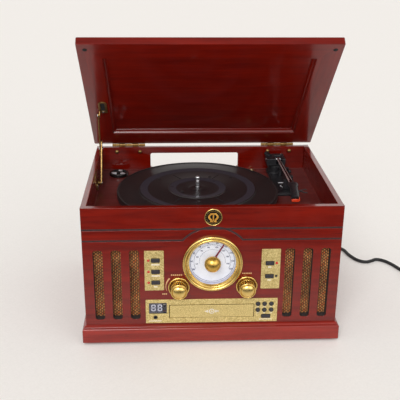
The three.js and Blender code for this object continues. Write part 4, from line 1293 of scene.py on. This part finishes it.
# ------------------------------------------------------------------ turntable
PLATTER_AT = upright_axis("platter")


def platter():
    """Moulded disc: a rim, a sunk outer land, two turned rings with a crest each, pads and ribs."""
    low, high = box("platter")
    crest = 1.3
    top, radius = high.z - crest, (high.x - low.x) / 2
    land = top - 1.4
    profile = [(4, 205), (13, 205), (13, 212), (68, 212), (68, 205.5), (72, 205.5), (72, 212),
               (radius - 7, 212), (radius - 7, top - 12), (radius - 0.6, top - 12),
               (radius, top - 11.4), (radius, top - 1.4), (radius - 0.4, top - 0.4),
               (radius - 1.5, top), (radius - 2.6, top - 0.1), (radius - 4.0, land), (111.4, land),
               (110.3, land + 0.5), (109.6, top + 0.9), (108.6, top + crest), (107.6, top + 1.2),
               (93.6, top + 0.1), (92, top), (56.5, top), (55.2, top + 0.3), (54.6, top + 1.0),
               (53.8, top + 1.2), (52.9, top + 1.1), (40.5, top - 0.1), (39, top - 0.2),
               (18, top - 0.2), (16.6, top), (14.4, top + 0.5), (9, top + 0.5), (6.4, top + 0.1),
               (4, top)]
    disc = lathe("platter_disc", profile, PLATTER_AT, UP, PLATTER_BLACK, 180, closed=True, sharp=30)

    def on_ring(where, normal):
        """Whether a face lies on one of the two turned rings."""
        out = (where - PLATTER_AT).xy.length
        return normal.z > 0.5 and (93.8 < out < 107.4 or 40.8 < out < 52.7)

    # the tops of the two rings get the lighter grey of painted sheen
    paint(disc, RING_PAINTED_SHEEN, on_ring)
    parts = [disc]
    for r, turn in ((48, 172), (48, 46), (34, 210), (69, 270), (88, 145), (88, 40), (66, 66)):
        t = radians(turn)
        level = top - 0.3
        at = PLATTER_AT + Vector((r * cos(t), r * sin(t), 0))
        pad = [(0, level), (3.0, level), (3.0, level + 0.8), (2.6, level + 1.2), (1.2, level + 1.2),
               (1.0, level + 0.7), (0, level + 0.7)]
        parts.append(lathe("pad", pad, at, UP, PLATTER_BLACK, 24))
    for turn in (58, 122, 238, 302):
        outline = radial(PLATTER_AT, radians(turn), ((58, -0.8), (84, -0.8), (84, 0.8), (58, 0.8)))
        parts.append(plate("rib", outline, [], lying(top - 0.2), 0.5, 0.15, RUBBER))
    place(merged("platter_moulding", parts), "platter", "gloss_black", "platter")
    profile = [(0, 192), (3.6, 192), (3.6, 226), (3.3, 226.4), (3.3, 227.4), (3.6, 227.8), (3.6, 238.6),
               (3.2, 239.2), (3.2, 240.2), (4.3, 240.8), (4.4, 243.4), (4.1, 244.8), (3.2, 246.2),
               (1.8, 247.1), (0, 247.5)]
    place(lathe("spindle_pin", profile, PLATTER_AT, UP, STEEL, 48), "platter", "steel", "spindle")


platter()


def adapter():
    """The large-hole record adapter: a black puck with a dished top, three spokes and a bored hub."""
    low, high = box("adapter_45")
    centre = upright_axis("adapter_45")
    radius, base, top = (high.x - low.x) / 2, low.z, high.z
    profile = [(3.7, base), (radius - 1, base), (radius, base + 1.2), (radius, top - 1.4),
               (radius - 0.4, top - 0.5), (radius - 1.3, top), (15.6, top), (15.0, top - 0.5),
               (14.6, top - 2.6), (6.6, top - 2.6), (6.2, top - 0.5), (5.6, top), (4.3, top),
               (3.7, top - 0.6)]
    parts = [lathe("puck", profile, centre, UP, GLOSS_BLACK, 72, closed=True)]
    for turn in (80, 200, 320):
        outline = radial(centre, radians(turn), ((5.6, -2.6), (15, -4.0), (15, 4.0), (5.6, 2.6)))
        parts.append(plate("spoke", outline, [], lying(top - 3), 2.8, 0.4, ALLOY))
    place(merged("adapter_puck", parts), "adapter", "gloss_black", "adapter_45")


adapter()


def deck_fittings():
    """Transit screw on the deck and the dome nuts along the back wall."""
    dome = [(0, -1)] + [(4.2 * cos(t), 0.4 + 2.4 * sin(t)) for t in (k * pi / 16 for k in range(9))]
    washer = [(0, 0), (6.4, 0), (6.4, 0.4), (6.0, 0.8), (0, 0.8)]
    x, y = 101, 152.5
    parts = [lathe("washer", washer, (x, y, DECK), UP, BRASS, 40),
             lathe("dome", dome, (x, y, DECK + 0.8), UP, BRASS, 40)]
    nut = [(0, -0.5), (4.0, -0.5), (4.0, 1.2), (3.2, 2.6), (1.6, 3.4), (0, 3.5)]
    for x in (-179, -131.5, 134, 179):
        # the dome nuts are in the darker brass of painted shade
        parts.append(lathe("nut", nut, (x, INNER_BACK, 243), OUT, BRASS_PAINTED_SHADE, 28))
    place(merged("deck_screws", parts), "cabinet", "brass")


deck_fittings()


# ------------------------------------------------------------------ tonearm
ARM_POST = (146.0, 130.5)  # where the arm turns
ARM_HEIGHT = 234.0


def slab(name, outline, low, high, bevel, material):
    """A flat piece lying level, rounded above and slightly chamfered below."""
    return plate(name, outline, [], lying(low), high - low, bevel, material, back=bevel * 0.4)


def tonearm_base():
    """A stepped plate with the arm's column, its rest, the cue bearing and the lift bar on a post."""
    low, high = box("tonearm_base")
    base_top = DECK + 4.5
    lift_post = [(0, base_top), (4.2, base_top), (4.2, 218), (2.2, 218.6), (2.2, 227), (0, 227)]
    column = [(0, base_top - 0.5), (17.5, base_top - 0.5), (17.5, base_top + 2.2),
              (16.9, base_top + 2.9), (15, base_top + 3.2), (15, 222.0), (14.6, 222.6), (13.2, 222.8),
              (13.2, 225.3), (12.7, 225.7), (0, 225.7)]
    sole = rounded(low.x, high.x, low.y, high.y, 4, 5)
    step = rounded(low.x + 3, high.x - 3, low.y + 3, high.y - 3, 3, 5)
    face = base_top + 0.7
    lift_bar = rounded(144, 162, 100.2, 104.6, 2.0, 4)
    parts = [slab("base_plate", sole, DECK, base_top, 1.2, SATIN_BLACK),
             slab("base_step", step, base_top - 0.4, face, 0.5, SATIN_BLACK),
             lathe("column", column, (*ARM_POST, 0), UP, SATIN_BLACK, 64),
             block("rest_post", (148, 23.5, base_top), (165.5, 30.5, 227.6), 1.2, SATIN_BLACK),
             block("rest_ear", (161.5, 23.5, 226), (165.5, 30.5, 236), 1.0, SATIN_BLACK),
             block("rest_lip", (148, 23.5, 226), (150.4, 30.5, 229.8), 0.8, SATIN_BLACK),
             block("cue_bearing", (166.2, 132.5, base_top), (171.8, 147.5, 214), 1.2, SATIN_BLACK),
             slab("lift_bar", lift_bar, 226.4, 229.0, 0.8, SATIN_BLACK),
             lathe("lift_post", lift_post, (153, 102.4, 0), UP, SATIN_BLACK, 28)]
    place(merged("tonearm_base_moulding", parts), "cabinet", "gloss_black", "tonearm_base")
    outline = rectangle(144, 158, 59.6, 64.0)
    legend = slab("speed_legend", outline, face - 0.05, face + PRINT, 0.02, WHITE_PRINT)
    outer, inner = circle(152, 43, 7.2, 40), circle(152, 43, 5.7, 40)
    ring = plate("speed_ring", outer, [inner], lying(face - 0.05), 0.1, 0.0, WHITE_PRINT)
    place(merged("tonearm_legends", [legend, ring]), "cabinet", "gloss_black")


tonearm_base()


def speed_selector():
    """A small ribbed knob with a white mark."""
    low, high = box("speed_selector")
    centre = upright_axis("speed_selector")
    radius = (high.x - low.x) / 2
    profile = [(0, low.z + 0.6), (radius, low.z + 0.6), (radius, low.z + 2.8),
               (radius - 0.6, high.z - 0.6), (radius - 1.2, high.z), (0, high.z)]

    def ribbing(angle, radius, distance):
        """Fine ribs round the grip."""
        return -0.25 * abs(sin(angle * 9)) if radius > 4 and distance > low.z + 0.7 else 0

    parts = [lathe("selector", profile, centre, UP, GLOSS_BLACK, 48, wave=ribbing)]
    parts.append(block("selector_mark", (centre.x - 0.5, centre.y - 3.2, high.z - 0.1),
                       (centre.x + 0.5, centre.y - 0.6, high.z + 0.1), 0.08, WHITE_PRINT))
    place(merged("speed_selector_cap", parts), "speed", "gloss_black", "speed_selector")


speed_selector()


def bearing_block():
    """The turning block that carries the arm between two bearing caps, with a stub at its rear."""
    low, high = box("tonearm_gimbal")
    axis = pivot("tonearm_lift").x
    left, right, notch = axis - 6, axis + 6, 138.5
    outline = [(low.x, low.y), (left, low.y), (left, notch), (right, notch), (right, low.y),
               (high.x, low.y), (high.x, high.y), (low.x + 3, high.y), (low.x, high.y - 3)]
    foot = rounded(low.x, high.x, low.y, high.y, 2.5, 4)
    parts = [slab("block_top", outline, 228, high.z, 1.3, SATIN_BLACK),
             slab("block_foot", foot, low.z, 228.4, 0.3, SATIN_BLACK)]
    stub = [(137, 136, 238), (131.5, 143.5, 240.8), (128.9, 147.6, 242.2)]
    parts.append(tube("rear_stub", stub, 4.6, SATIN_BLACK))
    cap = [(0, -1.5), (3.0, -1.5), (3.0, 0.6), (2.4, 1.0), (0, 1.0)]
    for x, out in ((low.x, -SIDE), (high.x, SIDE)):
        parts.append(lathe("bearing_cap", cap, (x, ARM_POST[1], ARM_HEIGHT), out, STEEL, 28))
    for x in (low.x + 6, high.x - 5):
        parts.append(screw((x, high.y - 5, high.z), UP, STEEL, 2.2))
    place(merged("bearing_block", parts), "arm_pivot", "gloss_black", "tonearm_gimbal")


bearing_block()


def bar_ring(centre, wide, tall):
    """A soft-cornered cross-section of the arm, upright and square to Y."""
    ring, steps = [], 20
    for k in range(steps):
        t = 2 * pi * k / steps
        c, s = cos(t), sin(t)
        a = wide * copysign(abs(c) ** 0.7, c)
        b = tall * copysign(abs(s) ** 0.7, s)
        ring.append((centre[0] + a, centre[1], centre[2] + b))
    return ring


def tonearm():
    """A slim bar from its trunnion to a turned-in headshell, with an orange stylus guard."""
    axis, root = pivot("tonearm_lift").x, pivot("tonearm_lift").y
    head_y, long = -14.0, 66.0
    run = [(root + 5.0, 1.2, 1.0), (root + 4.4, 2.6, 2.2), (root + 2, 3.3, 2.8), (root - 4, 3.5, 3.0),
           (90, 3.6, 3.0), (60, 3.8, 2.9), (30, 4.1, 2.9), (0, 4.5, 2.9), (-14, 5.0, 3.0),
           (-18, 6.0, 2.9)]
    rings = []
    for y, wide, tall in run:
        x = axis + 5 * (root - y) / (root - head_y)
        rings.append(bar_ring((x, y, ARM_HEIGHT), wide, tall))
    bar = loft("arm_bar", rings, GLOSS_BLACK, sharp=50)
    # the arm's upper side edges are painted with a pale highlight
    paint(bar, ARM_PAINTED_HIGHLIGHT, lambda where, normal: -8 < where.y < root - 4
          and normal.z > 0.2 and abs(normal.x) > 0.25)
    parts = [bar]
    trunnion = [(0, 0), (3.6, 0), (4.2, 0.5), (4.2, 9.9), (3.6, 10.4), (0, 10.4)]
    parts.append(lathe("trunnion", trunnion, (axis - 5.2, root, ARM_HEIGHT), SIDE, STEEL, 28))
    shell = []
    for y, wide, top, bottom in ((3.8, 5.2, 237.0, 231.6), (2.4, 7.6, 237.4, 231.5),
                                 (-2, 9.4, 237.6, 231.5), (-12, 9.6, 237.6, 231.5),
                                 (-18, 7.6, 237.4, 231.5), (-36, 7.2, 237.2, 231.5),
                                 (-58, 7.0, 236.4, 231.5), (-63, 6.4, 235.8, 231.6),
                                 (-65.6, 5.2, 235.0, 231.8)):
        shell.append(bar_ring((0, y, (top + bottom) / 2), wide, (top - bottom) / 2))
    head = [loft("head_shell", shell, SATIN_BLACK, sharp=50),
            slab("head_groove", rectangle(-3.4, 3.4, -54, -12), 237.0, 237.7, 0.3, SATIN_BLACK)]
    lift = [(6.4, -36), (12, -36.4), (17, -41.8), (23.6, -43.0), (23.6, -40.6), (18, -39.4),
            (14.6, -34.6), (14.6, -30.4), (18, -26.6), (23.6, -26.0), (23.6, -23.6), (17, -24.2),
            (12, -28.6), (6.4, -29)]
    head.append(slab("finger_lift", lift, 232.1, 233.4, 0.3, SATIN_BLACK))
    turn = moved(axis + 7, head_y, 0) @ Matrix.Rotation(radians(-5), 4, "Z")
    head_made = merged("head_parts", head)
    head_made.data.transform(turn)
    parts.append(head_made)
    place(merged("tonearm_moulding", parts), "arm", "gloss_black", "tonearm")
    tip = -long
    body = [block("cartridge_body", (-6.9, tip + 4.5, 226.3), (6.9, tip + 31, 231.8), 0.8, SATIN_BLACK)]
    apron = rounded(-6.6, 6.6, tip - 1, tip + 10, 1.5, 3)
    guard = [slab("stylus_guard", apron, 224.5, 227.6, 0.6, STYLUS_ORANGE),
             block("guard_tip", (-5.4, tip - 1, 226.4), (5.4, tip + 2.6, 229.2), 0.8, STYLUS_ORANGE),
             block("guard_side", (6.2, tip - 0.6, 225.4), (8.4, tip + 11.0, 230.6), 0.8, STYLUS_ORANGE)]
    pickup = merged("cartridge_and_guard", body + guard)
    pickup.data.transform(turn)
    place(pickup, "arm", "gloss_black", "cartridge")


tonearm()


def cue_lever():
    """A lever on its axle, with a finger pad."""
    low, high = box("cue_lever")
    pin = pivot("cue_lever_lift")
    axle = [(0, 0), (2.4, 0), (2.4, 3.8), (2.0, 4.2), (0, 4.2)]
    parts = [lathe("cue_axle", axle, (low.x + 0.1, pin.y, pin.z), SIDE, SATIN_BLACK, 28),
             block("cue_arm", (173.1, low.y + 2, 209.6), (175.9, pin.y + 1.6, 212.4), 0.9, SATIN_BLACK),
             block("cue_pad", (low.x + 0.1, low.y, 209.6), (high.x, low.y + 8, 214.9), 1.4,
                   SATIN_BLACK)]
    place(merged("cue_lever_moulding", parts), "cue", "gloss_black", "cue_lever")


cue_lever()


# ------------------------------------------------------------------ rear
CORD_AT = (130, 62)  # where the cord leaves the socket plate, in X and Z


def rear():
    """Socket plate with two line sockets, an aerial terminal, a slide switch and the cord bush."""
    low, high = box("rear_jack_plate")
    face = BACK + 2
    outline = rounded(-high.x, -low.x, low.z, high.z, 3, 4)
    hole = circle(-CORD_AT[0], CORD_AT[1], 4.6, 32)
    parts = [plate("jack_plate", outline, [hole], rearward(BACK), 2.0, 0.5, SATIN_BLACK)]
    bush = [(3.2, 0), (7.4, 0), (7.2, 1.4), (5.6, 2.2), (5.2, 5.4), (4.6, 6.0), (3.2, 6.0)]
    at = (CORD_AT[0], face, CORD_AT[1])
    parts.append(lathe("cord_bush", bush, at, -OUT, RUBBER, 40, closed=True))
    collar = [(3.4, 0), (6.6, 0), (6.6, 1.0), (6.0, 1.4), (3.4, 1.4)]
    barrel = [(2.0, 1.0), (4.2, 1.0), (4.4, 1.6), (4.4, 7.2), (4.1, 7.8), (2.0, 7.8)]
    for x, colour in ((72, WHITE_PRINT), (90, SOCKET_RED)):
        at = (x, face, 82)
        parts.append(lathe("socket_ring", collar, at, -OUT, colour, 36, closed=True))
        parts.append(lathe("socket_barrel", barrel, at, -OUT, STEEL, 36, closed=True))
    aerial = [(0, 0), (5.4, 0), (5.2, 1.0), (3.9, 1.4), (3.9, 4.4), (3.4, 4.9), (1.2, 4.9), (1.0, 3.0),
              (0, 3.0)]
    parts.append(lathe("aerial_terminal", aerial, (72, face, 62), -OUT, STEEL, 36))
    switch = plate("switch_frame", rounded(-118, -104, 76, 88, 1.2, 3),
                   [rectangle(-115, -107, 79.5, 84.5)], rearward(face), 2.4, 0.4, SATIN_BLACK)
    slider = block("switch_slider", (107.5, face, 79.8), (111.5, face + 3.8, 84.2), 0.4, RUBBER)
    parts += [switch, slider]
    for x in (low.x + 5, high.x - 5):
        for z in (low.z + 5, high.z - 5):
            parts.append(screw((x, face, z), -OUT, STEEL, 2.4))
    for x, z, wide in ((81, 90.6, 26), (72, 71.4, 12), (111, 91.4, 14)):
        for k in range(wide // 4):
            at = x - wide / 2 + 4 * k
            near, far = (at, face - 0.1, z - 0.6), (at + 2.6, face + PRINT, z + 0.6)
            parts.append(block("mark", near, far, 0.05, PALE_PRINT))
    place(merged("rear_jack_moulding", parts), "cabinet", "black_plastic", "rear_jack_plate")


rear()


def power_cord():
    """A cord from the bush down to the floor, round the back corner, to a two-blade plug."""
    floor = 3.5 + FLOOR
    x, z = CORD_AT
    path = [(x, BACK - 12, z), (x, BACK + 16, z), (154, BACK + 34, 34), (190, BACK + 36, 14),
            (238, BACK + 38, floor + 0.5), (290, BACK + 36, floor), (316, BACK + 22, floor),
            (327, BACK - 12, floor), (342, BACK - 39, floor), (356, BACK - 45, floor),
            (369, BACK - 40, floor), (381, BACK - 34, floor), (393, BACK - 39, floor),
            (405, BACK - 53, floor), (419, BACK - 82, floor), (433, BACK - 110, floor)]
    cord = tube("cord", path, 3.4, RUBBER)
    grip = [(-6, -3.4), (2, -7.8), (22, -8), (26, -6.6), (26, 6.6), (22, 8), (2, 7.8), (-6, 3.4)]
    plug_parts = [plate("plug_grip", grip, [], lying(-3.4), 13.8, 2.0, RUBBER, back=1.6)]
    for y in (-6.2, 6.2):
        plug_parts.append(block("blade", (24, y - 0.8, 1), (42, y + 0.8, 7), 0.3, STEEL))
    for k in range(4):
        plug_parts.append(block("rib", (4 + 4 * k, -8.2, 0), (5.6 + 4 * k, 8.2, 8), 0.4, RUBBER))
    made = merged("plug", plug_parts)
    aim = -atan2(28, 14)
    made.data.transform(moved(432, BACK - 108, floor) @ Matrix.Rotation(aim, 4, "Z"))
    place(merged("power_cord_and_plug", [cord, made]), "cabinet", "black_rubber", "power_cord")


power_cord()


# ------------------------------------------------------------------ carried frame pieces
def dress(node, material):
    """Keeps a CAD piece as it is and gives it a finish."""
    carried = frame["nodes"][node]
    carried.data.materials.clear()
    carried.data.materials.append(material)


for hidden in ("speaker_left", "speaker_right", "cd_mechanism"):
    dress(hidden, SATIN_BLACK)
dress("main_board", BOARD_GREEN)
dress("motor", STEEL)
dress("motor_pulley", BRASS)
dress("drive_belt", RUBBER)
# the deck board gets the paler lacquer of painted sheen
dress("deck_board", WOOD_DECK_PAINTED_SHEEN)


# ------------------------------------------------------------------ camera, floor and light
def camera():
    """A slightly raised, near-frontal view."""
    yaw, pitch, roll = radians(-2.7467), radians(-21.8082), radians(0.4746)
    ahead = Vector((-sin(yaw) * cos(pitch), cos(yaw) * cos(pitch), sin(pitch)))
    level = Vector((cos(yaw), sin(yaw), 0))
    upward = level.cross(ahead)
    right = level * cos(roll) + upward * sin(roll)
    upright = -level * sin(roll) + upward * cos(roll)
    data = bpy.data.cameras.new("camera")
    data.lens = 65.31
    data.sensor_width = 36
    made = show("camera", data)
    eye = moved(-75.25, -1276.82, 709.18)
    made.matrix_world = eye @ Matrix((right, upright, -ahead)).transposed().to_4x4()
    bpy.context.scene.camera = made


camera()


def axis_value(tree, space, axis):
    """One coordinate of the shaded point or of the view direction."""
    where = add_node(tree, "TexCoord").outputs[space]
    return add_node(tree, "SeparateXYZ", {"Vector": where}).outputs[axis]


def floor_material():
    """Pale backdrop paper with a faint fibre; its mirror image darkens towards the viewer."""
    material, tree, shader = new_material("floor_paper")
    fibre = noise(tree, 300.0)
    tone = ramp(tree, fibre, 0.3, screen(240, 238, 235), 0.7, screen(245, 243, 240))
    inward_y = spread(tree, axis_value(tree, "Object", "Y"), -0.62, -0.32, 0.0, 1.0)
    darkening = ramp(tree, inward_y, 0.0, (0.06, 0.055, 0.05, 1), 1.0, WHITE)
    dim = mix(tree, "MULTIPLY", 1.0, tone, darkening)
    mirrored = add_node(tree, "LightPath").outputs["Is Glossy Ray"]
    colour = mix(tree, "MIX", mirrored, tone, dim)
    fill(tree, shader, {"Base Color": colour, "Roughness": 0.9, "Specular IOR Level": 0.1})
    return material


def surroundings():
    """A wide pale floor, a soft sky that only mirrors see in full, and two soft lamps."""
    reach, level = 15000, FLOOR - 0.1
    corners = [(x, y, level) for x, y in rectangle(-reach, reach, -reach, reach)]
    ground = mesh_object("floor", corners, [(0, 1, 2, 3)], floor_material())
    if ground.data.polygons[0].normal.z < 0:
        ground.data.polygons[0].flip()
    world = bpy.data.worlds.new("studio")
    world.use_nodes = True
    tree = world.node_tree
    background = tree.nodes["Background"]
    height = axis_value(tree, "Generated", "Z")
    sky = ramp(tree, height, 0.0, (0.36, 0.35, 0.34, 1), 0.5, (1.5, 1.46, 1.42, 1))
    zenith = ramp(tree, height, 0.7, WHITE, 0.9, (0.15, 0.15, 0.15, 1))
    sky = mix(tree, "MULTIPLY", 1.0, sky, zenith)
    mirrored = add_node(tree, "LightPath").outputs["Is Glossy Ray"]
    plain = tuple(0.72 * c for c in screen(240, 236, 232)[:3]) + (1,)
    seen = add_node(tree, "LightPath").outputs["Is Camera Ray"]
    backdrop = mix(tree, "MIX", seen, mix(tree, "MIX", mirrored, plain, sky), screen(233, 229, 226))
    plug(tree, background.inputs["Color"], backdrop)
    bpy.context.scene.world = world
    lamps = (("key", (-0.3, -1.0, 0.85), 30, 1.6), ("fill", (0.8, -1.0, 0.6), 40, 0.35))
    for name, toward, angle, strength in lamps:
        data = bpy.data.lights.new(name, "SUN")
        data.angle = radians(angle)
        data.energy = strength
        lamp_made = show(name, data)
        lamp_made.matrix_world = Vector(toward).to_track_quat("Z", "Y").to_matrix().to_4x4()


surroundings()
bpy.context.scene.view_settings.view_transform = "Standard"
